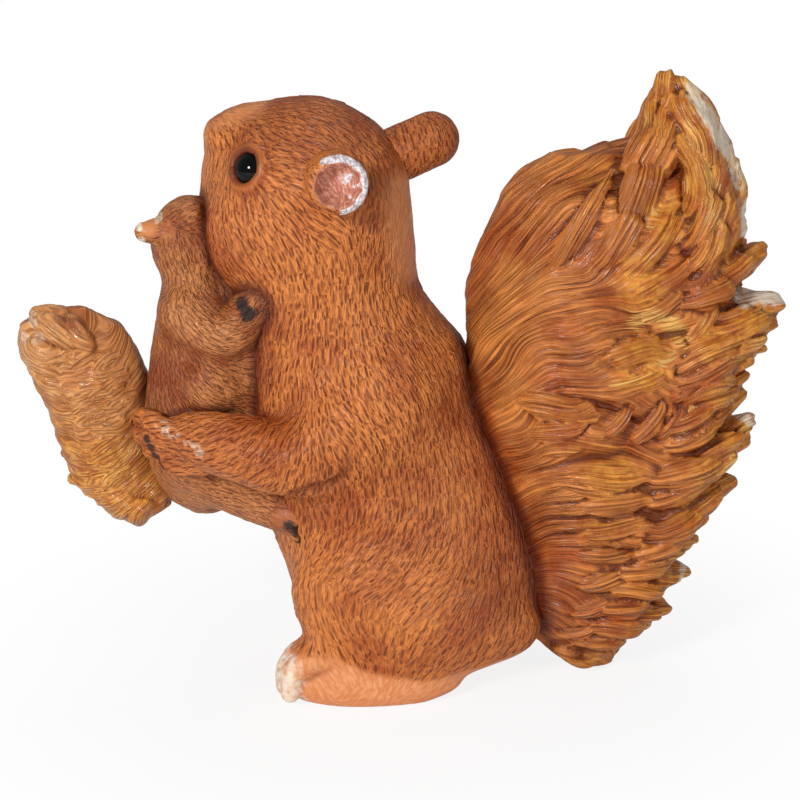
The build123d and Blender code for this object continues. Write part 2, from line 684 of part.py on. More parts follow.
def pin(shares, side, direction, radius, length, grow=0):
    """A plain round pin about its middle."""
    body = Cylinder(radius + grow, length + 2 * grow)
    return Plane(origin=on_mother(shares, side), z_dir=direction).location * body


# Pins: node name, place, side, direction, radius and length
PINS = [
    ("tail_pin_lower", TAIL_PIN_SHARES[0], 1, (1, 0, 0), TAIL_PIN_RADIUS, TAIL_PIN_LENGTH),
    ("tail_pin_upper", TAIL_PIN_SHARES[1], 1, (1, 0, 0), TAIL_PIN_RADIUS, TAIL_PIN_LENGTH),
    ("arm_pin_left", ARM_PIN_SHARES, -1, (0, 1, 0), ARM_PIN_RADIUS, ARM_PIN_LENGTH),
    ("arm_pin_right", ARM_PIN_SHARES, 1, (0, 1, 0), ARM_PIN_RADIUS, ARM_PIN_LENGTH),
    ("foot_pin_left", FOOT_PIN_SHARES, -1, (0, 0, 1), FOOT_PIN_RADIUS, FOOT_PIN_LENGTH),
    ("foot_pin_right", FOOT_PIN_SHARES, 1, (0, 0, 1), FOOT_PIN_RADIUS, FOOT_PIN_LENGTH),
    ("baby_pin", BABY_PIN_SHARES, 1, (1, 0, 0), BABY_PIN_RADIUS, BABY_PIN_LENGTH),
    ("baby_tail_pin", BABY_TAIL_PIN_SHARES, 1, (1, 0, 0), BABY_PIN_RADIUS, BABY_TAIL_PIN_LENGTH),
]

nodes = {name: pin(*sizes) for name, *sizes in PINS}
bores = {name: pin(*sizes, PIN_CLEARANCE) for name, *sizes in PINS}
floor = Box(
    3 * (TRUNK_LENGTH + TAIL_LENGTH),
    3 * TRUNK_WIDTH,
    OVERRUN,
    align=(Align.CENTER, Align.CENTER, Align.MAX),
)

mother_skin = mother_form(GLUE_GAP)
arm_skin = arm_form(-1, GLUE_GAP)
arm_skins = [arm_skin, mirror(arm_skin, about=Plane.XZ)]

arm = carve(arm_form(-1), mother_skin, bores["arm_pin_left"], *finger_gaps(-1))
nodes["mother_arm_left"] = arm
nodes["mother_arm_right"] = mirror(arm, about=Plane.XZ)
for word, side in SIDES.items():
    nodes[f"mother_foot_{word}"] = carve(
        foot_form(side), mother_skin, bores[f"foot_pin_{word}"], floor
    )

mother_cuts = list(bores.values())
for word, side in SIDES.items():
    socket = eye_socket(EYE_RADIUS, EYE_GIRDLE, EYE_SHANK_RADIUS, EYE_SHANK_LENGTH)
    mother_cuts.append(mother_eye_location(side) * socket)
    mother_cuts.append(ear_tenon(side, PIN_CLEARANCE))
    nodes[f"mother_eye_{word}"] = mother_eye_location(side) * eye(
        EYE_RADIUS, EYE_DOME_HEIGHT, EYE_GIRDLE, EYE_SHANK_RADIUS, EYE_SHANK_LENGTH
    )
    ear_length = LEFT_EAR_LENGTH if side < 0 else RIGHT_EAR_LENGTH
    tenon_free = mother_skin - ear_tenon(side, PIN_CLEARANCE)
    nodes[f"mother_ear_{word}"] = carve(mother_ear(side, ear_length), tenon_free)

nodes["mother_body"] = carve(mother_form(), *mother_cuts)
nodes["mother_tail"] = carve(
    tail_form(), mother_skin, bores["tail_pin_lower"], bores["tail_pin_upper"], floor
)
baby_socket = baby_eye_location() * eye_socket(
    BABY_EYE_RADIUS, BABY_EYE_GIRDLE, BABY_EYE_SHANK_RADIUS, BABY_EYE_SHANK_LENGTH
)
nodes["baby_eye_left"] = baby_eye_location() * eye(
    BABY_EYE_RADIUS,
    BABY_EYE_DOME_HEIGHT,
    BABY_EYE_GIRDLE,
    BABY_EYE_SHANK_RADIUS,
    BABY_EYE_SHANK_LENGTH,
)
nodes["baby_body"] = carve(
    baby_form(), mother_skin, *arm_skins, bores["baby_pin"], bores["baby_tail_pin"], baby_socket
)
nodes["baby_tail"] = carve(
    baby_tail_form(), seat_block(), baby_form(GLUE_GAP), *arm_skins, bores["baby_tail_pin"]
)

for name, node in nodes.items():
    export_step(node, f"parts/{name}.step")
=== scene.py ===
import math

import bpy
import numpy as np
from mathutils import Matrix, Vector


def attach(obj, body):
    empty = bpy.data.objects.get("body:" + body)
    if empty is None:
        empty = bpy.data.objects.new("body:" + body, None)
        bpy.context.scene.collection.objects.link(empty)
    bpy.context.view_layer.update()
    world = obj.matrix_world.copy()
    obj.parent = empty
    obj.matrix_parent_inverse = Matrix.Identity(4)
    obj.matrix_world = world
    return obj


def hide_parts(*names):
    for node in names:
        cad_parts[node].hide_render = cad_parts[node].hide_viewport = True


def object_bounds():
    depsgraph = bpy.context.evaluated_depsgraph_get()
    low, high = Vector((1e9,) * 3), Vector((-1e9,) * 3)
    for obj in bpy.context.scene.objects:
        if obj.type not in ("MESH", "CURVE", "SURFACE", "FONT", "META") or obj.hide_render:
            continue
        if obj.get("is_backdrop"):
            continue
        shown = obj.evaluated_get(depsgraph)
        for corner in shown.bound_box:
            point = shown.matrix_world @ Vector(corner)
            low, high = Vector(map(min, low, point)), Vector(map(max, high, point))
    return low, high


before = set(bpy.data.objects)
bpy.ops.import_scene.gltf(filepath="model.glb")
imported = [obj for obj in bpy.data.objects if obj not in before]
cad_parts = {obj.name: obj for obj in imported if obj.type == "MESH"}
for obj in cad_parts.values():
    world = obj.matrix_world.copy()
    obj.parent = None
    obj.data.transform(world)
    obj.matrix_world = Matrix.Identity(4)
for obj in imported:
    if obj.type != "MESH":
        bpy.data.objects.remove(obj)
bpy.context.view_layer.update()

# Sizes here are in mm, as in the solids, and become metres when a mesh is made
MM = 0.001
# The left side, which is towards the camera, and the right one, as signs of Y
SIDES = (-1, 1)

# Camera
LENS = 90.0
SENSOR = 36.0
PICTURE = 800
DISTANCE = 515.4
AIM = np.array((0.0, 0.0, 75.0))
VIEW_TURN = math.radians(5.0)
VIEW_RISE = math.radians(18.0)
VIEW_ROLL = math.radians(2.6)
# What a pixel of the picture measures on the figurine's flank
PIXEL = 0.2577


def unit(vector):
    return vector / np.linalg.norm(vector)


def placed(x_axis, y_axis, z_axis, location):
    """The matrix that gives an object these axes and this place."""
    return Matrix([*zip(x_axis, y_axis, z_axis, location), (0, 0, 0, 1)])


def add_object(name, data):
    thing = bpy.data.objects.new(name, data)
    bpy.context.scene.collection.objects.link(thing)
    return thing


back = np.array((math.sin(VIEW_TURN) * math.cos(VIEW_RISE),
                 -math.cos(VIEW_TURN) * math.cos(VIEW_RISE), math.sin(VIEW_RISE)))
level_right = np.array((math.cos(VIEW_TURN), math.sin(VIEW_TURN), 0.0))
level_up = np.cross(back, level_right)
right = level_right * math.cos(VIEW_ROLL) - level_up * math.sin(VIEW_ROLL)
up = level_right * math.sin(VIEW_ROLL) + level_up * math.cos(VIEW_ROLL)
eye_point = AIM + back * DISTANCE

camera_data = bpy.data.cameras.new("camera")
camera_data.lens = LENS
camera_data.sensor_width = SENSOR
camera_data.clip_start = 0.01
camera_data.clip_end = 20.0
camera = add_object("camera", camera_data)
camera.matrix_world = placed(right, up, back, eye_point * MM)
bpy.context.scene.camera = camera


def at(px, py, y):
    """X and Z in mm of a picture point on the plane at this Y."""
    ray = -back * (PICTURE * LENS / SENSOR) + right * (px - PICTURE / 2) - up * (py - PICTURE / 2)
    place = eye_point + ray * (y - eye_point[1]) / ray[1]
    return place[0], place[2]


def spot(px, py, y):
    """The whole place in mm of a picture point on the plane at this Y."""
    x, z = at(px, py, y)
    return (x, y, z)


# Fields: functions of x, y, z that are negative inside a form
def smooth_min(a, b, k):
    """The union of two forms, with a fillet that reaches k from their crease."""
    h = np.maximum(k - np.abs(a - b), 0) / k
    return np.minimum(a, b) - h * h * k / 4


def dot(parts, axis):
    return parts[0] * axis[0] + parts[1] * axis[1] + parts[2] * axis[2]


def turned(axis, degrees):
    return np.array(Matrix.Rotation(math.radians(degrees), 3, axis))


def egg(centre, radii, turn=None):
    """An ellipsoid, which may be turned about its middle."""
    turn = np.eye(3) if turn is None else turn
    radii = np.array(radii, float)

    def field(x, y, z):
        offset = (x - centre[0], y - centre[1], z - centre[2])
        parts = [dot(offset, turn[:, i]) for i in range(3)]
        near = np.sqrt(sum((part / r) ** 2 for part, r in zip(parts, radii)))
        slope = np.sqrt(sum((part / r ** 2) ** 2 for part, r in zip(parts, radii)))
        return near * (near - 1) / (slope + 1e-6)
    return field


def curve(points, radii, steps=4):
    """More points and radii along a smooth curve through the given ones."""
    data = np.column_stack((np.array(points, float), np.array(radii, float)))
    padded = np.vstack((2 * data[0] - data[1], data, 2 * data[-1] - data[-2]))
    rows = []
    for i in range(len(data) - 1):
        a, b, c, d = padded[i:i + 4]
        for t in np.arange(steps) / steps:
            rows.append(0.5 * (2 * b + (c - a) * t + (2 * a - 5 * b + 4 * c - d) * t ** 2
                               + (3 * b - a - 3 * c + d) * t ** 3))
    rows.append(data[-1])
    rows = np.array(rows)
    return rows[:, :3], rows[:, 3]


def chain(points, radii):
    """A round rod along these points, with a radius at each."""
    points, radii = np.array(points, float), np.array(radii, float)

    def field(x, y, z):
        best = None
        for a, b, ra, rb in zip(points[:-1], points[1:], radii[:-1], radii[1:]):
            d = b - a
            offset = (x - a[0], y - a[1], z - a[2])
            t = np.clip(dot(offset, d) / max(d.dot(d), 1e-9), 0, 1)
            far = np.sqrt(sum((gap - t * part) ** 2 for gap, part in zip(offset, d)))
            far = far - (ra + (rb - ra) * t)
            best = far if best is None else np.minimum(best, far)
        return best
    return field


def limb(points, radii):
    """A rod that runs smoothly through a few points."""
    return chain(*curve(points, radii))


def mirrored(points, side, middle=0.0):
    """Points given for the right side of a plane at this Y, on this side."""
    return [(x, middle + side * y, z) for x, y, z in points]


class Loft:
    """A form through level ovals: height, middle along X, half length, half width."""
    LEVELS = 180

    def __init__(self, stations, middle=0.0, blur=9):
        levels, *rows = np.array(stations, float).T
        self.levels = np.linspace(levels[0], levels[-1], self.LEVELS)
        kernel = np.hanning(blur + 2)
        self.rows = [np.convolve(np.pad(np.interp(self.levels, levels, row), blur // 2, mode="edge"),
                                 kernel[1:-1] / kernel.sum(), mode="valid") for row in rows]
        self.middle = middle

    def sizes(self, z):
        return [np.interp(z, self.levels, row) for row in self.rows]

    def __call__(self, x, y, z):
        centre, length, width = self.sizes(z)
        u, v = (x - centre) / length, (y - self.middle) / width
        near = np.sqrt(u * u + v * v) + 1e-6
        slope = np.sqrt((u / length) ** 2 + (v / width) ** 2) / near + 1e-6
        ends = np.maximum(self.levels[0] - z, z - self.levels[-1])
        return np.maximum((near - 1) / slope, ends)


def union(parts):
    """Several forms in one: parts are pairs of a field and its blend."""
    def field(x, y, z):
        total = None
        for form, blend in parts:
            value = form(x, y, z)
            total = value if total is None else smooth_min(total, value, blend)
        return total
    return field


# Surfaces from fields
class Space:
    """A block of sample points."""

    def __init__(self, low, high, step):
        step = step * 1.0
        self.low, self.step = np.array(low, float), step
        self.axes = [np.arange(a, b + step, step, dtype=np.float32) for a, b in zip(low, high)]
        x, y, z = self.axes
        self.x, self.y, self.z = x[:, None, None], y[None, :, None], z[None, None, :]

    def fill(self, field):
        shape = tuple(len(axis) for axis in self.axes)
        return np.ascontiguousarray(np.broadcast_to(field(self.x, self.y, self.z), shape)).astype(np.float32)

    def add(self, values, field, low, high, blend):
        """Blends one small form into the values, near its own box only."""
        part = []
        for axis, a, b in zip(self.axes, low, high):
            part.append(slice(max(int(np.searchsorted(axis, a)) - 1, 0), int(np.searchsorted(axis, b)) + 1))
        view = values[tuple(part)]
        if view.size:
            local = field(self.x[part[0]], self.y[:, part[1]], self.z[:, :, part[2]])
            values[tuple(part)] = smooth_min(view, local, blend)

    def surface(self, values):
        """Points and four-cornered faces where the values change sign."""
        inside = values < 0
        corners = list(np.ndindex(2, 2, 2))
        count = sum(inside[tuple(slice(c, n - 1 + c) for c, n in zip(corner, inside.shape))].astype(np.int8)
                    for corner in corners)
        active = (count > 0) & (count < 8)
        cells = np.argwhere(active)
        total = np.zeros((len(cells), 3))
        crossings = np.zeros(len(cells))
        for first in corners:
            for axis in range(3):
                if first[axis]:
                    continue
                second = tuple(1 if i == axis else c for i, c in enumerate(first))
                fa = values[tuple((cells + first).T)]
                fb = values[tuple((cells + second).T)]
                hit = (fa < 0) != (fb < 0)
                share = np.where(hit, fa / np.where(hit, fa - fb, 1), 0)
                place = np.array(first, float)[None, :].repeat(len(cells), 0)
                place[:, axis] += share
                total += place * hit[:, None]
                crossings += hit
        points = (cells + total / crossings[:, None]) * self.step + self.low
        number = np.full(active.shape, -1, np.int64)
        number[active] = np.arange(len(cells))
        faces = []
        for axis in range(3):
            before = [slice(None)] * 3
            after = [slice(None)] * 3
            before[axis], after[axis] = slice(0, -1), slice(1, None)
            a, b = inside[tuple(before)], inside[tuple(after)]
            p, q = (axis + 1) % 3, (axis + 2) % 3
            edges = np.argwhere(a != b)
            edges = edges[(edges[:, p] > 0) & (edges[:, q] > 0)
                          & (edges[:, p] < inside.shape[p] - 1) & (edges[:, q] < inside.shape[q] - 1)]
            out = a[tuple(edges.T)]
            ring = []
            for dp, dq in ((1, 1), (0, 1), (0, 0), (1, 0)):
                cell = edges.copy()
                cell[:, p] -= dp
                cell[:, q] -= dq
                ring.append(number[tuple(cell.T)])
            quad = np.stack(ring, 1)
            faces.append(np.where(out[:, None], quad, quad[:, ::-1]))
        return points, np.concatenate(faces)


def corner_normals(points, faces):
    a, b, c, d = (points[faces[:, i]] for i in range(4))
    across = np.cross(c - a, d - b)
    normals = np.zeros_like(points)
    for i in range(4):
        for axis in range(3):
            normals[:, axis] += np.bincount(faces[:, i], across[:, axis], len(points))
    return normals / (np.linalg.norm(normals, axis=1, keepdims=True) + 1e-12)


def neighbour_mean(values, faces):
    """Mean of each point's neighbours along the edges."""
    values = values if values.ndim == 2 else values[:, None]
    total = np.zeros_like(values)
    count = np.zeros(len(values))
    for i in range(4):
        for j in (1, 3):
            other = values[faces[:, (i + j) % 4]]
            for axis in range(values.shape[1]):
                total[:, axis] += np.bincount(faces[:, i], other[:, axis], len(values))
            count += np.bincount(faces[:, i], minlength=len(values))
    return total / np.maximum(count, 1)[:, None]


# Shares that smooth a surface in turn without shrinking it
SMOOTHING = (0.55, -0.57)


def relax(points, faces, rounds):
    for _ in range(rounds):
        for share in SMOOTHING:
            points = points + share * (neighbour_mean(points, faces) - points)
    return points


# Noise
# A block of random values, and two places in it far enough apart
CELLS = 32
FIRST_PLACE, SECOND_PLACE = 7.3, 19.1
TABLE = np.random.default_rng(11).random((CELLS, CELLS, CELLS))


def noise(p):
    """Smooth noise from 0 to 1, with a grain of about 1."""
    base = np.floor(p.T).astype(int)
    f = p.T - base
    f = f * f * (3 - 2 * f)
    near = [(1 - row, row) for row in f]
    cell = [(row % CELLS, (row + 1) % CELLS) for row in base]
    total = 0
    for i, j, k in np.ndindex(2, 2, 2):
        total = total + near[0][i] * near[1][j] * near[2][k] * TABLE[cell[0][i], cell[1][j], cell[2][k]]
    return total


def step_up(value, low, high):
    """From 0 at low to 1 at high, with a soft start and end."""
    t = np.clip((value - low) / (high - low), 0, 1)
    return t * t * (3 - 2 * t)


# Lie of the fur. Long lists of points are worked through in parts of this many
FLOW_ROWS = 20000
SEED_ROWS = 8000
# How evenly the guides share a place in mm2, how fast a far one fades, and how
# much the fur hangs
GUIDE_BLEND = 4.0
GUIDE_FADE = 1.6
DROOP = 0.08
# Between two patches their strokes fade into the second set's, from this share
# of a patch to that one
BORDER_FROM, BORDER_TO = 0.25, 0.02


class Flow:
    """Which way the fur lies: guides are picture points and angles in degrees,
    0 to the picture's right and 90 up, on a side at this Y."""

    def __init__(self, guides, y):
        places = np.array([at(px, py, y) for px, py, _ in guides])
        angles = np.radians([angle for _, _, angle in guides])
        self.places = places
        self.headings = np.column_stack((np.cos(angles), np.sin(angles)))

    def level(self, points):
        """The heading in the XZ plane at each point."""
        gap = ((points[:, None, (0, 2)] - self.places[None]) ** 2).sum(2)
        weight = 1 / (gap + GUIDE_BLEND) ** GUIDE_FADE
        heading = weight @ self.headings
        return heading / (np.linalg.norm(heading, axis=1, keepdims=True) + 1e-9)

    def __call__(self, points, normals):
        heading = np.empty_like(points)
        for start in range(0, len(points), FLOW_ROWS):
            part = slice(start, start + FLOW_ROWS)
            level = self.level(points[part])
            heading[part] = np.column_stack((level[:, 0], np.zeros(len(level)), level[:, 1]))
        heading[:, 2] -= DROOP
        heading -= normals * (heading * normals).sum(1, keepdims=True)
        return heading / (np.linalg.norm(heading, axis=1, keepdims=True) + 1e-9)


def nearest(points, seeds, many=1):
    """Numbers of the nearest seeds and their distances."""
    numbers = np.empty((len(points), many), int)
    gaps = np.empty((len(points), many))
    square = (seeds ** 2).sum(1)
    for start in range(0, len(points), SEED_ROWS):
        part = points[start:start + SEED_ROWS]
        gap = square[None] - 2 * part @ seeds.T + (part ** 2).sum(1)[:, None]
        best = np.argpartition(gap, many, axis=1)[:, :many] if many > 1 else gap.argmin(1)[:, None]
        value = np.take_along_axis(gap, best, 1)
        order = value.argsort(1)
        numbers[start:start + len(part)] = np.take_along_axis(best, order, 1)
        gaps[start:start + len(part)] = np.take_along_axis(value, order, 1)
    return numbers, np.sqrt(np.maximum(gaps, 0))


# More than the cells along any axis, and how far apart patches lie in the noise
KEY_STEP = 4096
NOISE_SPREAD = 40


class Patches:
    """Small patches of a surface, each with its own axes along and across the
    fur, so that a stroke can be drawn along it."""

    def __init__(self, points, normals, headings, size, seed):
        rng = np.random.default_rng(seed)
        shift = rng.random(3) * size
        cells = np.floor((points + shift) / size).astype(np.int64)
        key = (cells[:, 0] * KEY_STEP + cells[:, 1]) * KEY_STEP + cells[:, 2]
        order = rng.permutation(len(points))
        _, first = np.unique(key[order], return_index=True)
        chosen = order[first]
        self.seeds = points[chosen]
        self.along = headings[chosen]
        self.across = np.cross(normals[chosen], headings[chosen])
        self.random = rng.random(len(chosen)) * NOISE_SPREAD

    def local(self, points, numbers):
        q = points - self.seeds[numbers]
        return np.column_stack(((q * self.along[numbers]).sum(1), (q * self.across[numbers]).sum(1),
                                self.random[numbers]))


def lay(points, faces, normals, headings, size, seed):
    """Patch coordinates at each point and each face corner, for two sets of
    patches, and how far each point is from a border of the first set."""
    at_points, at_corners = [], []
    share = None
    for number in (0, 1):
        patches = Patches(points, normals, headings, size, seed + number)
        near, gaps = nearest(points, patches.seeds, 2)
        at_points.append(patches.local(points, near[:, 0]))
        middle, _ = nearest(points[faces].mean(1), patches.seeds)
        corners = faces.reshape(-1)
        at_corners.append(patches.local(points[corners], np.repeat(middle[:, 0], 4)))
        if number == 0:
            share = step_up(gaps[:, 1] - gaps[:, 0], BORDER_FROM * size, BORDER_TO * size)
    return at_points, at_corners, 1 - share


# Meshes
def make_mesh(name, points, faces, attributes, corner_attributes, normals=None):
    used = np.unique(faces)
    number = np.full(len(points), -1, np.int64)
    number[used] = np.arange(len(used))
    mesh = bpy.data.meshes.new(name)
    faces = number[faces]
    mesh.vertices.add(len(used))
    mesh.vertices.foreach_set("co", (points[used] * MM).astype(np.float32).reshape(-1))
    mesh.loops.add(faces.size)
    mesh.loops.foreach_set("vertex_index", faces.reshape(-1).astype(np.int32))
    mesh.polygons.add(len(faces))
    mesh.polygons.foreach_set("loop_start", np.arange(0, faces.size, 4, dtype=np.int32))
    mesh.update(calc_edges=True)
    mesh.validate()
    for label, values in attributes.items():
        values = np.asarray(values, np.float32)[used]
        if values.ndim == 1:
            mesh.attributes.new(label, "FLOAT", "POINT").data.foreach_set("value", values)
        else:
            layer = mesh.attributes.new(label, "FLOAT_VECTOR", "POINT")
            layer.data.foreach_set("vector", values.reshape(-1))
    for label, values in corner_attributes.items():
        layer = mesh.attributes.new(label, "FLOAT_VECTOR", "CORNER")
        layer.data.foreach_set("vector", np.asarray(values, np.float32).reshape(-1))
    mesh.polygons.foreach_set("use_smooth", np.ones(len(faces), bool))
    if normals is not None:
        mesh.normals_split_custom_set_from_vertices(normals[used])
    return mesh


def show(name, mesh, material, node):
    """Puts a mesh in the scene in place of a node of the solids."""
    piece = add_object(name, mesh)
    mesh.materials.append(material)
    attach(piece, "root")
    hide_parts(node)


MASKS = ("smooth", "coarse", "light_paint_and_highlight", "russet_and_shade", "bare_and_rim_light", "pale", "dark", "crease_shade", "gold", "painted_glint")


def spots(points, places, y):
    """From 0 to 1: how near each point is to painted spots, each a picture
    point, a radius in pixels and a strength, seen from the side."""
    total = np.zeros(len(points))
    for px, py, radius, strength in places:
        x, z = at(px, py, y)
        gap = np.sqrt((points[:, 0] - x) ** 2 + (points[:, 2] - z) ** 2)
        total = np.maximum(total, strength * step_up(gap, 1.35 * radius * PIXEL, 0.45 * radius * PIXEL))
    return total


def line(points, places, y, width):
    """From 0 to 1: how near each point is to a line of picture points, in the
    XZ plane. The width is in mm."""
    path = np.array([at(px, py, y) for px, py in places])
    best = np.full(len(points), 1e9)
    for a, b in zip(path[:-1], path[1:]):
        d = b - a
        px, pz = points[:, 0] - a[0], points[:, 2] - a[1]
        t = np.clip((px * d[0] + pz * d[1]) / d.dot(d), 0, 1)
        best = np.minimum(best, np.hypot(px - t * d[0], pz - t * d[1]))
    return step_up(best, width, 0.15 * width)


# How far a surface is flattened to find its hollows and ridges
HOLLOW_ROUNDS = 10
HOLLOW_SHARE = 0.9


class Skin:
    """A sculpted surface, with what its fur and paint need at each point."""

    def __init__(self, space, values, flow, patch=4.5, seed=1, rounds=2):
        points, faces = space.surface(values)
        self.points, self.faces = relax(points, faces, rounds), faces
        self.normals = corner_normals(self.points, faces)
        self.masks = {name: np.zeros(len(points)) for name in MASKS}
        if flow is not None:
            headings = flow(self.points, self.normals)
            self.at_points, self.at_corners, self.share = lay(
                self.points, faces, self.normals, headings, patch, seed)

    def grain(self, long, wide, shift=0.0):
        """Noise drawn out along the fur at each point, from 0 to 1."""
        scale = np.array((1 / long, 1 / wide, 1.0))
        first = noise(self.at_points[0] * scale + FIRST_PLACE + shift)
        second = noise(self.at_points[1] * scale + SECOND_PLACE + shift)
        return second + (first - second) * self.share

    def paint(self, name, amount):
        self.masks[name] = np.maximum(self.masks.get(name, 0), amount)

    def dab(self, name, y, places, where=1.0):
        """Paints spots, given as spots() wants them."""
        self.paint(name, spots(self.points, places, y) * where)

    def stroke(self, name, y, width, places, strength=1.0, where=1.0):
        """Paints a line, given as line() wants it."""
        self.paint(name, strength * line(self.points, places, y, width) * where)

    def raise_by(self, height):
        self.points = self.points + self.normals * np.asarray(height)[:, None]

    def finish(self):
        self.normals = corner_normals(self.points, self.faces)
        flat = self.points
        for _ in range(HOLLOW_ROUNDS):
            flat = flat + HOLLOW_SHARE * (neighbour_mean(flat, self.faces) - flat)
        self.masks["hollow"] = -((self.points - flat) * self.normals).sum(1)

    def piece(self, name, material, node, slot, keep=None):
        chosen = np.ones(len(self.faces), bool) if keep is None else keep
        corners = np.repeat(chosen, 4)
        attributes = dict(self.masks, share=self.share)
        mesh = make_mesh(name, self.points, self.faces[chosen], attributes,
                         {"lie_a": self.at_corners[0][corners], "lie_b": self.at_corners[1][corners]},
                         self.normals)
        show(name, mesh, material, node)


# Materials
def linear(red, green, blue):
    """A colour as seen, from 0 to 255 each, as the shader wants it."""
    parts = []
    for value in (red, green, blue):
        value /= 255
        parts.append(value / 12.92 if value < 0.04045 else ((value + 0.055) / 1.055) ** 2.4)
    return (*parts, 1.0)


class Nodes:
    """A node tree, emptied first, and short ways to add its nodes."""

    def __init__(self, tree):
        self.tree = tree
        self.tree.nodes.clear()

    def fill(self, node, inputs):
        """Gives each of these inputs its link or its constant."""
        for key, value in inputs.items():
            if isinstance(value, bpy.types.NodeSocket):
                self.tree.links.new(value, node.inputs[key])
            else:
                node.inputs[key].default_value = value

    def node(self, kind, inputs=None, **settings):
        node = self.tree.nodes.new(kind)
        for key, value in settings.items():
            setattr(node, key, value)
        self.fill(node, inputs or {})
        return node

    def attribute(self, name, vector=False):
        return self.node("ShaderNodeAttribute", attribute_name=name).outputs["Vector" if vector else "Fac"]

    def math(self, operation, *values):
        return self.node("ShaderNodeMath", dict(enumerate(values)), operation=operation).outputs[0]

    def times(self, first, second):
        return self.math("MULTIPLY", first, second)

    def frayed(self, name, pattern, strength):
        """A mask whose borders follow a pattern."""
        swing = self.times(self.math("SUBTRACT", pattern, 0.5), strength)
        return self.math("ADD", self.attribute(name), swing)

    def span(self, value, low, high, to_low=0.0, to_high=1.0):
        return self.node("ShaderNodeMapRange", {0: value, 1: low, 2: high, 3: to_low, 4: to_high},
                         interpolation_type="SMOOTHSTEP").outputs[0]

    def mix(self, share, first, second, blend="MIX"):
        return self.node("ShaderNodeMix", {0: share, 6: first, 7: second}, data_type="RGBA",
                         blend_type=blend).outputs[2]

    def lerp(self, share, first, second):
        return self.node("ShaderNodeMix", {0: share, 2: first, 3: second}, data_type="FLOAT").outputs[0]

    def noise(self, vector, scale=1.0, detail=2.0, rough=0.5):
        return self.node("ShaderNodeTexNoise", {"Vector": vector, "Scale": scale, "Detail": detail,
                                                "Roughness": rough}).outputs[0]

    def stretched(self, name, long, wide):
        stretch = {0: self.attribute(name, True), 1: (1 / long, 1 / wide, 1.0)}
        return self.node("ShaderNodeVectorMath", stretch, operation="MULTIPLY").outputs[0]

    def strokes(self, long, wide, detail=1.0):
        """Noise drawn out along the fur, without the patches' borders."""
        first = self.noise(self.stretched("lie_a", long, wide), 1.0, detail)
        second = self.noise(self.stretched("lie_b", long, wide), 1.0, detail)
        return self.lerp(self.attribute("share"), second, first)

    def dashes(self, long, wide):
        """Small separate strokes along the fur: 0 in the middle of each."""
        rows = []
        for name in ("lie_a", "lie_b"):
            cells = self.node("ShaderNodeTexVoronoi", {"Vector": self.stretched(name, long, wide),
                                                       "Scale": 1.0}, voronoi_dimensions="2D")
            rows.append(cells.outputs["Distance"])
        return self.lerp(self.attribute("share"), rows[1], rows[0])

    def speckle(self, size, detail=3.0):
        """Even noise with grains of about this size in mm."""
        place = self.node("ShaderNodeTexCoord").outputs["Object"]
        return self.noise(place, 1 / (size * MM), detail)

    def bump(self, height, strength, depth):
        return self.node("ShaderNodeBump", {"Strength": strength, "Distance": depth * MM,
                                            "Height": height}).outputs[0]


class Paint(Nodes):
    """A material with one shader."""

    def __init__(self, name):
        self.material = bpy.data.materials.new(name)
        self.material.use_nodes = True
        super().__init__(self.material.node_tree)
        self.shader = self.node("ShaderNodeBsdfPrincipled")
        self.output = self.node("ShaderNodeOutputMaterial", {0: self.shader.outputs[0]})


# Tones that the furs share, each with the one that it fades to
# Russet paint, also used as painted shade
RUSSET_AND_SHADE = linear(142, 62, 24)
# A painted highlight on the hair's ridges
RIDGE_HIGHLIGHT = linear(232, 164, 100)
# Bare bands, and the painted rim light down the neck
BARE_AND_RIM_LIGHT_TONES = linear(210, 130, 78), linear(226, 156, 106)
GOLD_TONES = linear(230, 160, 52), linear(196, 108, 30)
GOLD_GROOVE = linear(140, 66, 16)
# Painted glints
PAINTED_GLINT_TONE = linear(238, 190, 104)
PINK_TONES = linear(176, 104, 80), linear(216, 158, 136)
SILVER_TONES = linear(236, 230, 232), linear(188, 172, 176)
PALE_TONES = linear(236, 224, 204), linear(186, 150, 118)
# Black paint for claws and paws, also painted shade between the toes
BLACK_PAINT_AND_SHADE = linear(30, 25, 24)
# Painted shade in creases and round the eyes
CREASE_SHADE = linear(84, 24, 10)


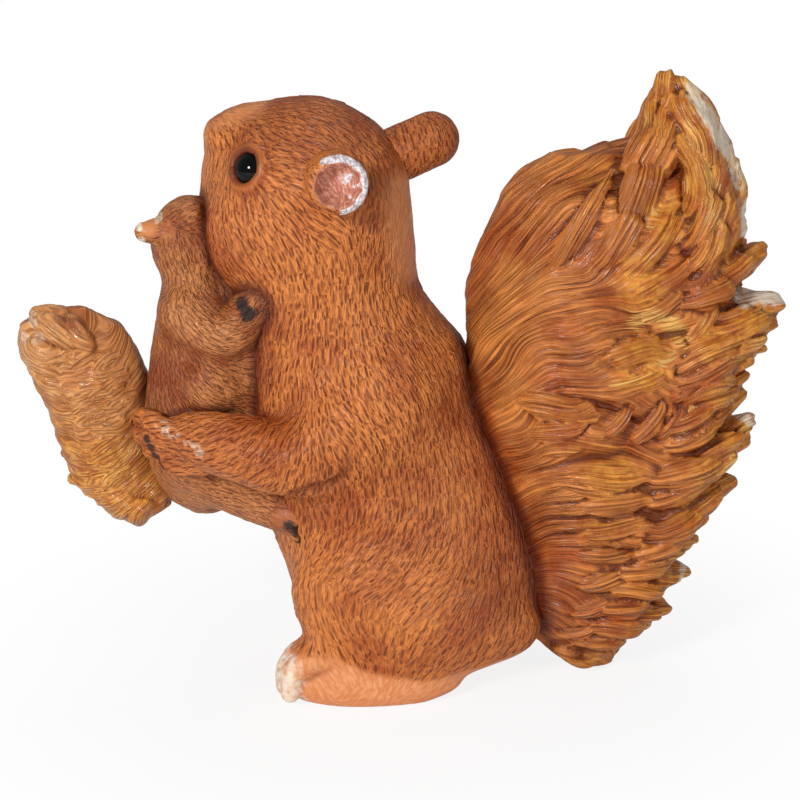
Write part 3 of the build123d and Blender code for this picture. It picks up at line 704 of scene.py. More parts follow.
def fur_paint(name, base, light, groove, long=2.3, wide=0.34, depth=0.32, rough=0.44, fine=0.85,
              extra=()):
    """Carved and brushed fur: thin dark strokes, this long and wide in mm, on a
    lighter ground. Each layer of paint is a share and a tone."""
    p = Paint(name)
    mask, span, times = p.attribute, p.span, p.times
    lines = p.strokes(long, wide)
    tufts = p.strokes(long * 2.6, wide * 5.0, 2.0)
    small = span(p.dashes(2.5 * long, 2.3 * wide), 0.50, 0.20)
    large = span(p.dashes(3.6 * long, 3.0 * wide), 0.48, 0.18)
    furry = span(mask("smooth"), 1.0, 0.2)
    dash = times(p.lerp(mask("coarse"), small, large), times(furry, span(tufts, 0.66, 0.40, 0.6, 1.0)))
    cut = p.math("MAXIMUM", dash, times(span(lines, 0.52, 0.36), times(furry, 0.6)))
    hollow = mask("hollow")
    middle = p.speckle(3.5)
    ground = p.math("ADD", p.speckle(16.0), times(middle, 0.4))
    layers = [
        # Painted highlights on lit places, and the lighter paint of the feet and bare bands
        (times(mask("light_paint_and_highlight"), 0.8), light),
        # Russet paint, and painted shade on parts turned from the light and between parts
        (times(mask("russet_and_shade"), 0.60), RUSSET_AND_SHADE),
        # Raised places lighter: a painted highlight on the crests, over a dry-brushed coat
        (span(hollow, -0.03, -0.40, 0.0, 0.5), light),
        # Painted highlights along the ridges of the hair
        (times(span(lines, 0.60, 0.72), times(furry, 0.32)), RIDGE_HIGHLIGHT),
        (times(cut, fine), groove),
        # Bare bands, and the painted rim light down the neck
        (mask("bare_and_rim_light"), p.mix(span(p.strokes(3.0, 0.8), 0.36, 0.70), *BARE_AND_RIM_LIGHT_TONES))]
    if "gold" in extra:
        gold = p.mix(span(p.speckle(2.2), 0.40, 0.65), *GOLD_TONES)
        layers += [
            (span(p.frayed("gold", middle, 0.9), 0.25, 0.95, 0.0, 0.70),
             p.mix(times(cut, 0.8), gold, GOLD_GROOVE)),
            # Painted glints
            (span(p.frayed("painted_glint", lines, 1.6), 0.45, 1.0, 0.0, 0.85), PAINTED_GLINT_TONE)]
    if "pink" in extra:
        layers += [
            (mask("pink"), p.mix(span(p.strokes(4.0, 0.5), 0.42, 0.62), *PINK_TONES)),
            (span(p.frayed("silver", p.speckle(1.3), 1.5), 0.35, 0.65),
             p.mix(span(p.speckle(0.7), 0.45, 0.6), *SILVER_TONES))]
    layers += [
        # Hollows darker: painted shade, over a dark wash
        (span(hollow, 0.06, 0.60, 0.0, 0.85), groove),
        (span(p.frayed("pale", p.speckle(1.8), 0.8), 0.30, 0.80, 0.0, 0.92),
         p.mix(times(cut, 0.5), *PALE_TONES)),
        # Black claws and paws, and painted shade between the toes
        (span(p.frayed("dark", lines, 1.8), 0.20, 0.95, 0.0, 0.95), BLACK_PAINT_AND_SHADE),
        # Painted shade in the creases between parts and round the eyes
        (times(mask("crease_shade"), 0.88), CREASE_SHADE)]
    colour = p.mix(span(ground, 0.52, 0.85), base, light)
    for share, tone in layers:
        colour = p.mix(share, colour, tone)
    relief = times(span(lines, 0.36, 0.62), times(furry, 0.45))
    relief = p.math("ADD", relief, times(p.speckle(0.7, 1.0), 0.15))
    p.fill(p.shader, {
        "Base Color": colour, "Specular IOR Level": 0.34,
        "Roughness": span(middle, 0.35, 0.70, rough - 0.08, rough + 0.14),
        "Normal": p.bump(p.math("SUBTRACT", relief, dash), 0.9, depth)})
    return p.material


def plain_paint(name, colour, other, sockets):
    """Two near tones in speckles, with these constants on the shader."""
    p = Paint(name)
    p.fill(p.shader, {"Base Color": p.mix(p.span(p.speckle(3.0), 0.4, 0.65), colour, other),
                      "Normal": p.bump(p.speckle(0.8), 0.3, 0.05), **sockets})
    return p.material


FUR = fur_paint("fur_paint", linear(182, 92, 36), linear(218, 130, 62), linear(104, 36, 11), fine=0.9,
                extra=("pink",))
YOUNG_FUR = fur_paint("young_fur_paint", linear(158, 80, 36), linear(204, 130, 74), linear(80, 28, 10),
                      long=1.8, wide=0.25, fine=0.78)
TAIL_FUR = fur_paint("tail_paint", linear(182, 90, 34), linear(222, 138, 64), linear(88, 29, 7),
                     long=9.0, wide=0.40, depth=0.42, rough=0.34, fine=0.84, extra=("gold",))
YOUNG_TAIL = fur_paint("young_tail_paint", linear(182, 102, 44), linear(226, 160, 100), linear(112, 52, 16),
                       long=3.2, wide=0.28, depth=0.35, rough=0.17, fine=0.6, extra=("gold",))
EYE_BLACK = plain_paint("eye_gloss", linear(5, 4, 5), linear(10, 7, 6),
                        {"Roughness": 0.05, "Specular IOR Level": 0.20})


# The larger squirrel
SKULL = np.array((-20.65, 0.55, 130.5))
HEAD_TURN = turned("Z", -32)
SKULL_RADII = np.array((27.0, 22.0, 24.5))

# From the seat up into the head
TRUNK = Loft([
    (2.8, -1.5, 11, 10.5), (7, 0.8, 21.8, 17.5), (18.6, 3.9, 33.2, 25.3), (31, 2.7, 34.6, 27.5),
    (41.9, -0.5, 34.8, 27), (52.7, -4.2, 34.4, 25.9), (64.3, -6.7, 32.7, 24.8), (75.2, -9.5, 30.5, 23.7),
    (86, -11.2, 29.5, 22.6), (91.0, -11.8, 28.6, 22.0), (97.5, -14.6, 25.6, 21.5),
    (105.4, -17.2, 23.1, 20.9), (115.5, -18.6, 23.8, 20.4), (125.6, -19.6, 21, 18.2),
    (133.3, -19.6, 14, 13.2)])


def on_skull(along, up_share, side):
    """A place on the skull and the direction square to it."""
    across = side * (0.25 - along ** 2 - up_share ** 2) ** 0.5
    shares = np.array((along, across, up_share)) * 2
    return SKULL + HEAD_TURN @ (shares * SKULL_RADII), unit(HEAD_TURN @ (shares / SKULL_RADII))


# Skull, upper face, muzzle (it points away from the camera and down), brow and
# near cheek
head = union([
    (egg(SKULL, SKULL_RADII, HEAD_TURN), 1),
    (egg((-33.8, 7.7, 135.6), (14.2, 15.5, 15.5), HEAD_TURN), 6),
    (chain([(-37.1, 10.4, 124), (-46.9, 22, 110.8)], [12, 7.5]), 8),
    (egg((-37.2, 7.0, 145.2), (8.4, 13.5, 6.6), HEAD_TURN), 3),
    (egg((-34.0, -4.0, 122.0), (11.0, 13.0, 13.0), HEAD_TURN), 8),
])
# On each side a thigh, and then the rump below the tail
haunches = union(
    [(egg((-0.7, side * 17.05, 25.6), (28.0, 14.5, 21.5), turned("Y", 12)), 1) for side in SIDES]
    + [(egg((17.5, side * 13.5, 17.6), (17.5, 9.5, 10.4)), 5) for side in SIDES])
body = union([(TRUNK, 1), (head, 9), (haunches, 4)])

ARM_POINTS = [(-2.8, 14.3, 79.8), (-14.0, 19.4, 71.3), (-25.9, 21.9, 67.4), (-39.9, 20.9, 70.2),
              (-50.2, 17.2, 71.4), (-57.0, 12.0, 71.4)]
ARM_RADII = [14, 11.8, 9.6, 8.5, 6.8, 4.4]


def arm(side):
    return limb(mirrored(ARM_POINTS, side), ARM_RADII)


# Feet: the right one stands further back. Toes from the inner one out
FOOT_OUT = 18.6
RIGHT_FOOT_BACK = 3.5
TOES = 4
TOE_GAP = 3.9
TOE_REACH = (2.6, 0.5, 0.0, 1.8)
TOE_RADII = [4.0, 3.7, 3.3, 2.6]
TOE_GROOVES = (14.35, 18.5, 22.65)
FOOT_POINTS = [(1.5, 18.15, 6.2), (-14.0, 18.7, 7.4), (-24.0, 18.7, 7.4)]
FOOT_RADII = [6.0, 8.5, 7.4]


def foot(side):
    """A long hind foot with its toes, whose knuckles stand up in front."""
    back_set = RIGHT_FOOT_BACK if side > 0 else 0.0
    points = [(px + back_set, py, pz) for px, py, pz in mirrored(FOOT_POINTS, side)]
    parts = [(limb(points, FOOT_RADII), 1),
             (egg((-8.0 + back_set, side * FOOT_OUT, 4.4), (21.5, 8.4, 6.0)), 4)]
    for number in range(TOES):
        across = (number - (TOES - 1) / 2) * TOE_GAP
        reach = TOE_REACH[number] + back_set
        toe = [(-15.0, FOOT_OUT, 9.0), (-22.6 + reach, FOOT_OUT + across * 0.8, 13.6),
               (-29.8 + reach, 18.4 + across * 1.05, 10.2), (-31.4 + reach, 18.4 + across * 1.1, 4.2)]
        parts.append((limb(mirrored(toe, side), TOE_RADII), 0.9))
    return union(parts)


# Height and foremost place of each finger, from the top one down, and its radius
FINGERS = ((74.6, -64.8, 2.9), (70.4, -65.2, 2.9), (66.6, -63.4, 2.7), (63.4, -60.6, 2.4))


def hand(side):
    """Four fingers that curl round the young one's back."""
    parts = []
    for number, (level, front, radius) in enumerate(FINGERS):
        root = 73.8 - 2.9 * number
        finger = [(-49.0, 20.4 - 0.5 * number, root), (-56.4, 18.4 - 0.4 * number, root - 0.4),
                  (front + 2.2, 14.8 - 0.4 * number, level + 1.4), (front, 10.4, level),
                  (front + 1.0, 6.0, level - 1.2)]
        parts.append((limb(mirrored(finger, side), [3.1, 3.0, radius, radius, 0.75 * radius]), 0.55))
    return union(parts)


# Eyes: a glass dome on a short shank, in a socket with a raised lid round it
EYE_RADIUS = 4.2
EYE_DOME = 2.6
EYE_SHANK = 1.2
EYE_SUNK = 0.6
SOCKET_RADIUS = 5.0
LID_RADIUS = 4.9
LID_THICKNESS = 0.95
EYES = [on_skull(-0.04, 0.19, side) for side in SIDES]


def axes_across(direction):
    """Two directions square to this one: level, and up from it."""
    level = unit(np.cross((0, 0, 1), direction))
    return level, np.cross(direction, level)


def ring_path(middle, square, radius, count=16):
    """Points on a circle round a middle, in the plane that it is square to."""
    level, upward = axes_across(square)
    angles = np.radians(np.linspace(0, 360, count + 1))
    return [middle + radius * (math.cos(a) * level + math.sin(a) * upward) for a in angles]


mother_space = Space((-72, -34, -1.5), (41, 34, 158.5), 0.72)
# Arms melt into the chest and stay apart from it towards the hands
blend = 1.5 + 6.0 * step_up(mother_space.x, -38, -18)
values = mother_space.fill(body)
for side in SIDES:
    values = smooth_min(values, mother_space.fill(arm(side)), blend)
    values = smooth_min(values, mother_space.fill(foot(side)), 5.0)
    values = smooth_min(values, mother_space.fill(hand(side)), 0.6)
for middle, square in EYES:
    socket = mother_space.fill(egg(middle + square * 1.2, [SOCKET_RADIUS] * 3))
    values = np.maximum(values, -(socket + 0.6))
    lid = ring_path(middle + square * 0.1, square, LID_RADIUS)
    mother_space.add(values, chain(lid, [LID_THICKNESS] * len(lid)), middle - 9, middle + 9, 1.6)
# Flat underneath
values = np.maximum(values, -mother_space.z)

MOTHER_FLOW = Flow([
    # Head
    (245, 123, -35), (302, 112, -42), (340, 122, -48), (369, 150, -68), (379, 184, -92), (375, 210, -112),
    (283, 171, -8), (300, 160, -22), (321, 228, -30), (293, 213, -48), (254, 213, -62), (229, 232, -66),
    (245, 251, -60), (302, 251, -76), (321, 270, -85), (340, 290, -92), (388, 290, -90), (254, 280, -58),
    (212, 167, -84), (216, 194, -92), (225, 140, -60), (405, 240, -95),
    # Neck, chest and back
    (283, 309, -100), (273, 328, -112), (302, 347, -102), (407, 328, -86), (293, 368, -106), (430, 360, -80),
    (340, 330, -92), (370, 370, -72), (321, 387, -60), (346, 406, -50), (345, 425, -55), (380, 400, -62),
    (369, 440, -70), (352, 460, -82), (293, 407, -85), (283, 426, -104), (302, 464, -110), (275, 380, -110),
    (410, 394, -68), (448, 419, -78), (397, 483, -88), (474, 508, -95), (512, 560, -108), (499, 610, -125),
    (360, 483, -84), (321, 502, -92), (379, 521, -118), (379, 540, -135), (321, 560, -140), (470, 460, -82),
    (312, 588, -82), (300, 560, -100), (288, 540, -95),
    # Haunch
    (346, 611, -72), (372, 572, -152), (436, 572, -142), (474, 585, -126), (448, 623, -130),
    (423, 661, -118), (385, 649, -96), (359, 661, -64), (334, 674, -40), (340, 607, -72), (369, 617, -78),
    (420, 600, -138), (400, 625, -112), (310, 630, -70), (423, 687, -175), (350, 690, -178),
    # Forearm
    (264, 454, -140), (226, 445, -166), (187, 445, 178), (240, 475, -150), (205, 470, -172), (160, 430, 175),
], -20.0)

mother = Skin(mother_space, values, MOTHER_FLOW, patch=4.6, seed=3)
x, y, z = mother.points.T
MOTHER_PIECES = ("mother_body", "mother_arm_left", "mother_arm_right", "mother_foot_left",
                 "mother_foot_right")
forms = [body, *(union([(arm(side), 1), (hand(side), 1)]) for side in SIDES), *map(foot, SIDES)]
fields = np.stack([form(x, y, z) for form in forms])
off_body = fields[0]
# A face between two parts goes to the one with more of its corners, or the first
face_part = np.sort(fields.argmin(0)[mother.faces], axis=1)[:, 1]
on_foot = step_up(np.minimum(fields[3], fields[4]) - off_body
                  - 2.0 * (noise(mother.points * (0.5, 0.5, 0.2)) - 0.5), 2.4, -0.8) * step_up(z, 17, 13)
mother.paint("smooth", on_foot)
# A bare rim runs along the seat
seat_edge = 7.0 + 0.15 * np.maximum(x - 6, 0) + 0.006 * np.minimum(x + 4, 0) ** 2
mother.paint("smooth", step_up(z - seat_edge, 2.2, -0.6) * step_up(x, -30, -24))
# A smooth strip down the back of the neck, painted pale as rim light
neck = line(mother.points, [(404, 178), (404, 205), (407, 235), (412, 262)], 0, 6.0)
mother.paint("smooth", 0.55 * neck)
mother.stroke("smooth", -20, 2.4, [(222, 484), (250, 489), (284, 491)], 0.8, off_body > 1)
mother.paint("coarse", np.maximum(step_up(z, 50, 10), step_up(x, 8, 26) * step_up(z, 90, 60)))
# A line along the top of each haunch, raised a little and painted lighter as a highlight; the feet and bare
# bands are painted lighter too
haunch = line(mother.points, [(296, 592), (326, 570), (376, 558), (428, 563), (464, 588)], -24, 8.0)
haunch = haunch * step_up(np.abs(y), 12, 18)
mother.paint("light_paint_and_highlight", np.maximum(0.9 * np.maximum(haunch, on_foot), 0.8 * mother.masks["smooth"]))
mother.paint("bare_and_rim_light", mother.masks["smooth"] * step_up(z, 20, 16))
mother.paint("bare_and_rim_light", 0.7 * neck)
mother.paint("pale", on_foot * step_up(x, -21.0, -29.0) * (0.45 + 0.4 * mother.grain(4.0, 1.4, 2.0)))
# A broken pale streak across the top of the hand
broken_streak = 0.1 + 0.55 * mother.grain(3.0, 1.0, 9.0)
mother.stroke("pale", -20, 4.0, [(158, 424), (178, 432), (204, 444)], broken_streak, off_body > 1.5)
# A thin painted highlight along the lower edge of the forearm
mother.stroke("pale", -20, 1.8, [(226, 484), (256, 490), (282, 491)], 0.45, off_body > 1)
brow = line(mother.points, [(206, 128), (224, 116), (244, 107), (264, 101)], 8, 3.4) * step_up(y, -9, 2)
mother.paint("smooth", 0.8 * brow)
mother.paint("bare_and_rim_light", 0.7 * brow)
mother.paint("bare_and_rim_light", 0.35 * step_up(np.linalg.norm(mother.points - (-48.0, 2.0, 139.0), axis=1), 9, 3))
on_hand = off_body > 3
# Lighter spots as painted highlights on the cheek, upper arm, haunch and hand; russet spots as painted shade
# on the crown, the back of the head, low on the back and between the young one and the chest; russet fingers
# and black claws
for name, depth, where, places in (
    ("light_paint_and_highlight", -18, 1, [
        (350, 400, 46, 0.9), (300, 235, 44, 0.7), (340, 240, 30, 0.8), (290, 290, 40, 0.6),
        (400, 240, 26, 0.9), (400, 575, 46, 0.7), (290, 190, 22, 0.6), (240, 460, 40, 0.5),
        (310, 610, 26, 0.5), (212, 135, 16, 0.7), (370, 310, 40, 0.5), (410, 330, 20, 0.6),
        (205, 165, 16, 0.8)]),
    ("russet_and_shade", -22, 1, [
        (380, 190, 20, 0.9), (375, 225, 16, 0.7), (362, 150, 18, 0.5), (500, 590, 50, 0.9),
        (520, 530, 30, 0.8), (255, 375, 26, 1.0), (275, 330, 18, 0.7), (330, 480, 20, 0.6),
        (310, 510, 22, 0.7), (460, 640, 34, 0.5), (265, 545, 18, 0.5), (235, 255, 14, 0.4),
        (440, 440, 30, 0.3)]),
    ("russet_and_shade", -8, 1, [(290, 118, 44, 0.75), (345, 128, 34, 0.75), (255, 125, 20, 0.6)]),
    ("russet_and_shade", -14, 1, [(380, 190, 30, 0.5), (385, 150, 30, 0.5), (440, 480, 60, 0.4), (380, 530, 50, 0.3),
                      (500, 600, 60, 0.5)]),
    ("russet_and_shade", -12, on_hand, [(141, 422, 9, 1), (144, 440, 9, 1)]),
    ("russet_and_shade", -20, on_hand, [(225, 450, 34, 0.45), (180, 450, 24, 0.45), (265, 455, 26, 0.36)]),
    ("light_paint_and_highlight", -18, on_hand, [(205, 412, 14, 0.7), (170, 420, 12, 0.6)]),
    ("dark", -14, on_hand * step_up(x, -50, -56), [(150, 434, 5, 1), (154, 443, 6, 1), (158, 453, 6.5, 1),
                                                   (163, 463, 5, 1)]),
):
    mother.dab(name, depth, places, where)
# Painted shade between the toes, in russet and black
toe_gap_shade = 0
for out in TOE_GROOVES:
    toe_gap_shade = np.maximum(toe_gap_shade, step_up(np.abs(np.abs(y) - out), 0.9, 0.25) * step_up(x, -21, -25))
mother.paint("russet_and_shade", 0.6 * toe_gap_shade * on_foot)
mother.paint("dark", 0.34 * toe_gap_shade * on_foot)
# The crease inside the elbow is cut in and painted in shade
elbow = line(mother.points, [(352, 452), (347, 468), (333, 478), (312, 483), (296, 489)], -24, 2.6)
elbow = elbow * step_up(np.abs(y), 14, 18)
mother.paint("crease_shade", 0.45 * elbow)
carving = 0.34 * (mother.grain(5.5, 1.9) - 0.5) + 0.5 * (mother.grain(9.0, 6.0, 5.0) - 0.5)
mother.raise_by(carving * (1 - mother.masks["smooth"]) - 0.9 * elbow + 0.45 * haunch)
# The crown and brow are a little lower than the forms make them
crown = step_up(z, 122, 134) * step_up(np.maximum(mother.normals[:, 2], -mother.normals[:, 0]), 0.25, 0.85)
near_eye = step_up(np.linalg.norm(mother.points - EYES[0][0], axis=1), 6, 12)
mother.raise_by(-1.0 * crown * near_eye)
mother.points[:, 2] = np.maximum(mother.points[:, 2], 0)
# Round each eye: painted shade in the socket, lighter towards the lower back, a russet ring and smooth fur
for middle, _ in EYES:
    gap = np.linalg.norm(mother.points - middle, axis=1)
    lower = step_up((mother.points - middle) @ np.array((0.55, 0, -0.8)), 0.0, 3.0)
    mother.paint("crease_shade", step_up(gap, 6.2, 4.6) * (0.95 - 0.3 * lower))
    mother.paint("russet_and_shade", step_up(gap, 7.5, 5.0))
    mother.paint("smooth", step_up(gap, 7.0, 5.0))


def cabochon(name, radius, dome, middle, square, node):
    """A domed eye, from a lathe turned about the direction square to it."""
    ball = (radius ** 2 + dome ** 2) / (2 * dome)
    widest = math.asin(radius / ball)
    sides, rings = 48, 14
    profile = [(0.0, dome)]
    for angle in np.linspace(0, widest, rings + 1)[1:]:
        profile.append((ball * math.sin(angle), dome - ball + ball * math.cos(angle)))
    profile.append((radius, -EYE_SHANK))
    points, faces = [], []
    for ring_radius, height in profile:
        points += ring_path(middle + square * height, square, ring_radius, sides)[:-1]
    for first in range(0, sides * (len(profile) - 1), sides):
        for i in range(sides):
            j = (i + 1) % sides
            faces.append((first + i, first + sides + i, first + sides + j, first + j))
    mesh = make_mesh(name, np.array(points), np.array(faces), {}, {})
    show(name, mesh, EYE_BLACK, node)


for (middle, square), word in zip(EYES, ("left", "right")):
    cabochon(f"mother_eye_{word}_dome", EYE_RADIUS, EYE_DOME, middle - square * EYE_SUNK, square,
             f"mother_eye_{word}")

# Ears: the left one is seen end on, and the right one from behind
EAR_LEAN = math.radians(46)
EAR_RIM_RADIUS = 6.0
EAR_RIM_THICKNESS = 1.25
for side, word, length, rise, up_share in ((-1, "left", 9.0, math.radians(3), 0.14),
                                           (1, "right", 15.2, math.radians(20), 0.175)):
    root, _ = on_skull(0.36, up_share, side)
    heading = HEAD_TURN @ np.array((math.sin(EAR_LEAN) * math.cos(rise),
                                    side * math.cos(EAR_LEAN) * math.cos(rise), math.sin(rise)))
    end = root + heading * length
    across, upward = axes_across(heading)
    if side < 0:
        rim = ring_path(end - 1.5 * heading, heading, EAR_RIM_RADIUS, 18)
        form = union([(chain([root - heading * 4, end - heading * 4.6], [7.2, 6.4]), 1),
                      (chain(rim, [EAR_RIM_THICKNESS] * len(rim)), 1.8)])
        cup = egg(end + heading * 1.4, (5.9, 5.9, 5.2))
    else:
        form = chain([root - heading * 4, end - heading * 6.8], [7.0, 6.9])
        cup = egg(end - heading * 5.0 + np.array((0.35, 0.93, 0.0)) * 7.6, (5.2, 5.2, 5.2))
    space = Space(np.minimum(root, end) - 11, np.maximum(root, end) + 11, 0.42)
    values = np.maximum(space.fill(form), -space.fill(cup))
    skin = Skin(space, values, MOTHER_FLOW, patch=3.0, seed=20 + side)
    inner = step_up(-cup(*skin.points.T), -0.9, 0.1)
    offset = skin.points - end
    skin.paint("pink", inner)
    skin.paint("smooth", inner)
    if side < 0:
        out = np.hypot(offset @ upward, offset @ across)
        seen = np.arctan2(offset @ up, offset @ right)
        # Silver flakes on the rim but for its lower left, and streaks in the cup
        band = step_up(out, 5.1, 6.0) * step_up(out, 7.7, 6.8)
        share = step_up(np.abs(np.degrees(seen) - 20), 118, 96)
        skin.paint("silver", band * share * step_up(offset @ heading, -2.8, -1.4))
        fold = step_up(np.hypot(offset @ right - 1.4, (offset @ up - 2.2) * 1.1), 2.6, 0.8)
        skin.paint("silver", 0.62 * fold * inner)
        streaks = step_up(np.sin(seen * 8 + 1), 0.1, 0.9) * step_up(out, 1.0, 3.0)
        skin.paint("silver", 0.5 * streaks * inner * step_up(offset @ right, -2.0, 2.0))
        skin.raise_by(0.45 * fold + 0.25 * np.sin(seen * 9) * inner * step_up(out, 0.5, 3))
    else:
        skin.paint("silver", step_up(inner, 0.2, 0.5) * step_up(inner, 0.9, 0.6))
        # The far ear is painted darker russet outside its cup, as shade
        skin.paint("russet_and_shade", 0.85 * (1 - inner))
    skin.raise_by(0.18 * (skin.grain(5.0, 1.6) - 0.5) * (1 - inner))
    skin.finish()
    skin.piece(f"mother_ear_{word}_skin", FUR, f"mother_ear_{word}", "ear_paint")

# The mother's tail
TAIL = Loft([
    (0.6, 48, 5.3, 3.4), (4.6, 45.8, 9.8, 5.7), (10.6, 45, 15, 10.6), (22, 45.8, 18.8, 15.2),
    (39.5, 48.8, 22.5, 17.5), (58.5, 49.5, 27.8, 18.6), (75.8, 49.2, 32.6, 19), (90.9, 51.7, 34.2, 19),
    (104.3, 52.1, 34.5, 18.2), (118.5, 52.8, 32.0, 16.7), (129.6, 54, 27.8, 14.4),
    (136.7, 54.8, 22.5, 10.6), (139.8, 54.8, 13.5, 5.7)])
TAIL_FLOW = Flow([
    (471, 363, 45), (482, 298, 58), (514, 233, 55), (547, 190, 45), (601, 164, 40), (655, 125, 66),
    (677, 92, 92), (525, 277, 38), (568, 272, 6), (612, 266, 14), (655, 244, 30), (698, 212, 58),
    (709, 190, 78), (525, 320, 22), (568, 320, -4), (612, 318, 6), (655, 298, 16), (698, 277, 28),
    (742, 255, 38), (503, 374, 38), (547, 353, 12), (590, 363, 28), (633, 342, 30), (677, 353, 40),
    (731, 342, 36), (509, 394, 12), (555, 406, -10), (601, 417, 10), (647, 406, 26), (693, 417, 35),
    (727, 440, 20), (532, 475, 0), (601, 475, -10), (647, 475, 5), (693, 475, 22), (578, 521, -4),
    (647, 521, 10), (693, 502, 30), (578, 578, -5), (624, 567, -5), (647, 612, -6), (555, 624, -20),
    (601, 635, 2), (578, 647, -12), (540, 560, -10), (560, 600, -12)], -12.0)
# Locks: four places from root to tip and half a breadth, as the solids have them
TAIL_LENGTH = 75.0
TAIL_HEIGHT = 158.0
TAIL_THICKNESS = 38.0
RIM_LOCKS = [
    ((0.74, 0.76), (0.84, 0.86), (0.90, 0.93), (0.915, 0.991), 0.106),
    ((0.95, 0.78), (1.02, 0.86), (1.02, 0.92), (0.95, 0.985), 0.065),
    ((0.93, 0.74), (1.04, 0.80), (1.085, 0.855), (1.07, 0.91), 0.06),
    ((0.93, 0.71), (1.06, 0.75), (1.12, 0.80), (1.13, 0.85), 0.055),
    ((0.92, 0.69), (1.05, 0.71), (1.12, 0.75), (1.15, 0.81), 0.05),
    ((0.90, 0.67), (1.03, 0.675), (1.13, 0.69), (1.215, 0.712), 0.065),
    ((0.90, 0.55), (1.04, 0.595), (1.17, 0.615), (1.275, 0.625), 0.065),
    ((0.92, 0.53), (1.06, 0.565), (1.17, 0.585), (1.27, 0.592), 0.06),
    ((0.90, 0.50), (1.02, 0.53), (1.12, 0.55), (1.22, 0.555), 0.045),
    ((0.88, 0.45), (1.0, 0.475), (1.08, 0.49), (1.16, 0.505), 0.055),
    ((0.88, 0.43), (0.98, 0.44), (1.07, 0.455), (1.16, 0.475), 0.045),
    ((0.82, 0.37), (0.96, 0.385), (1.08, 0.40), (1.195, 0.425), 0.065),
    ((0.82, 0.34), (0.95, 0.35), (1.06, 0.37), (1.17, 0.395), 0.05),
    ((0.80, 0.28), (0.92, 0.29), (1.03, 0.308), (1.125, 0.33), 0.065),
    ((0.78, 0.25), (0.88, 0.26), (0.97, 0.27), (1.06, 0.285), 0.05),
    ((0.72, 0.22), (0.82, 0.225), (0.91, 0.225), (0.99, 0.225), 0.045),
    ((0.70, 0.19), (0.80, 0.19), (0.89, 0.18), (0.97, 0.17), 0.04),
    ((0.66, 0.16), (0.75, 0.155), (0.83, 0.15), (0.90, 0.15), 0.045),
    ((0.64, 0.12), (0.73, 0.12), (0.81, 0.112), (0.90, 0.105), 0.055),
    ((0.58, 0.09), (0.67, 0.085), (0.75, 0.078), (0.835, 0.075), 0.05),
    ((0.52, 0.06), (0.59, 0.05), (0.65, 0.04), (0.71, 0.035), 0.045),
]
SIDE_LOCKS = [
    ((0.48, 0.68), (0.58, 0.74), (0.66, 0.80), (0.74, 0.86), 0.06),
    ((0.60, 0.69), (0.70, 0.73), (0.79, 0.79), (0.86, 0.86), 0.055),
    ((0.66, 0.68), (0.80, 0.72), (0.92, 0.77), (0.99, 0.83), 0.055),
    ((0.70, 0.65), (0.84, 0.68), (0.96, 0.71), (1.05, 0.75), 0.05),
    ((0.55, 0.60), (0.68, 0.615), (0.80, 0.62), (0.93, 0.605), 0.045),
    ((0.60, 0.55), (0.72, 0.57), (0.84, 0.585), (0.95, 0.575), 0.06),
    ((0.60, 0.525), (0.72, 0.525), (0.84, 0.535), (0.92, 0.55), 0.05),
    ((0.35, 0.50), (0.48, 0.50), (0.60, 0.49), (0.69, 0.505), 0.06),
    ((0.38, 0.44), (0.49, 0.45), (0.60, 0.465), (0.72, 0.50), 0.05),
    ((0.60, 0.43), (0.70, 0.45), (0.76, 0.48), (0.78, 0.52), 0.045),
    ((0.68, 0.42), (0.79, 0.44), (0.86, 0.48), (0.89, 0.52), 0.045),
    ((0.78, 0.42), (0.88, 0.44), (0.96, 0.48), (1.0, 0.52), 0.045),
    ((0.50, 0.375), (0.62, 0.38), (0.75, 0.37), (0.90, 0.37), 0.055),
    ((0.52, 0.33), (0.65, 0.33), (0.78, 0.33), (0.92, 0.35), 0.055),
    ((0.52, 0.28), (0.64, 0.28), (0.76, 0.29), (0.88, 0.31), 0.05),
    ((0.52, 0.24), (0.62, 0.24), (0.72, 0.24), (0.85, 0.25), 0.05),
    ((0.52, 0.19), (0.62, 0.19), (0.72, 0.20), (0.82, 0.205), 0.05),
    ((0.50, 0.14), (0.60, 0.14), (0.70, 0.15), (0.80, 0.165), 0.045),
    ((0.48, 0.09), (0.56, 0.09), (0.66, 0.10), (0.76, 0.12), 0.045),
]
# Smaller ones that only the painted surface has
SMALL_SIDE_LOCKS = [
    ((0.84, 0.72), (0.94, 0.76), (1.01, 0.80), (1.03, 0.86), 0.035),
    ((0.90, 0.69), (1.00, 0.70), (1.08, 0.73), (1.12, 0.78), 0.035),
    ((0.74, 0.635), (0.84, 0.64), (0.94, 0.66), (1.03, 0.70), 0.035),
    ((0.95, 0.53), (1.02, 0.56), (1.06, 0.60), (1.07, 0.645), 0.035),
    ((1.00, 0.52), (1.07, 0.555), (1.11, 0.59), (1.12, 0.63), 0.03),
    ((0.86, 0.41), (0.95, 0.43), (1.02, 0.46), (1.05, 0.505), 0.035),
    ((0.42, 0.39), (0.50, 0.42), (0.58, 0.43), (0.65, 0.425), 0.035),
    ((0.90, 0.585), (0.98, 0.60), (1.04, 0.63), (1.07, 0.67), 0.03),
    ((0.72, 0.27), (0.80, 0.28), (0.88, 0.285), (0.98, 0.30), 0.03),
    ((0.66, 0.22), (0.76, 0.225), (0.84, 0.23), (0.92, 0.24), 0.03),
    ((0.62, 0.16), (0.70, 0.165), (0.79, 0.17), (0.88, 0.19), 0.03),
    ((0.88, 0.84), (0.94, 0.88), (0.97, 0.93), (0.95, 0.97), 0.035),
    ((0.80, 0.82), (0.86, 0.87), (0.90, 0.92), (0.92, 0.97), 0.035),
    ((0.46, 0.36), (0.56, 0.365), (0.66, 0.355), (0.76, 0.345), 0.03),
    ((0.44, 0.47), (0.54, 0.475), (0.62, 0.475), (0.69, 0.485), 0.03),
]


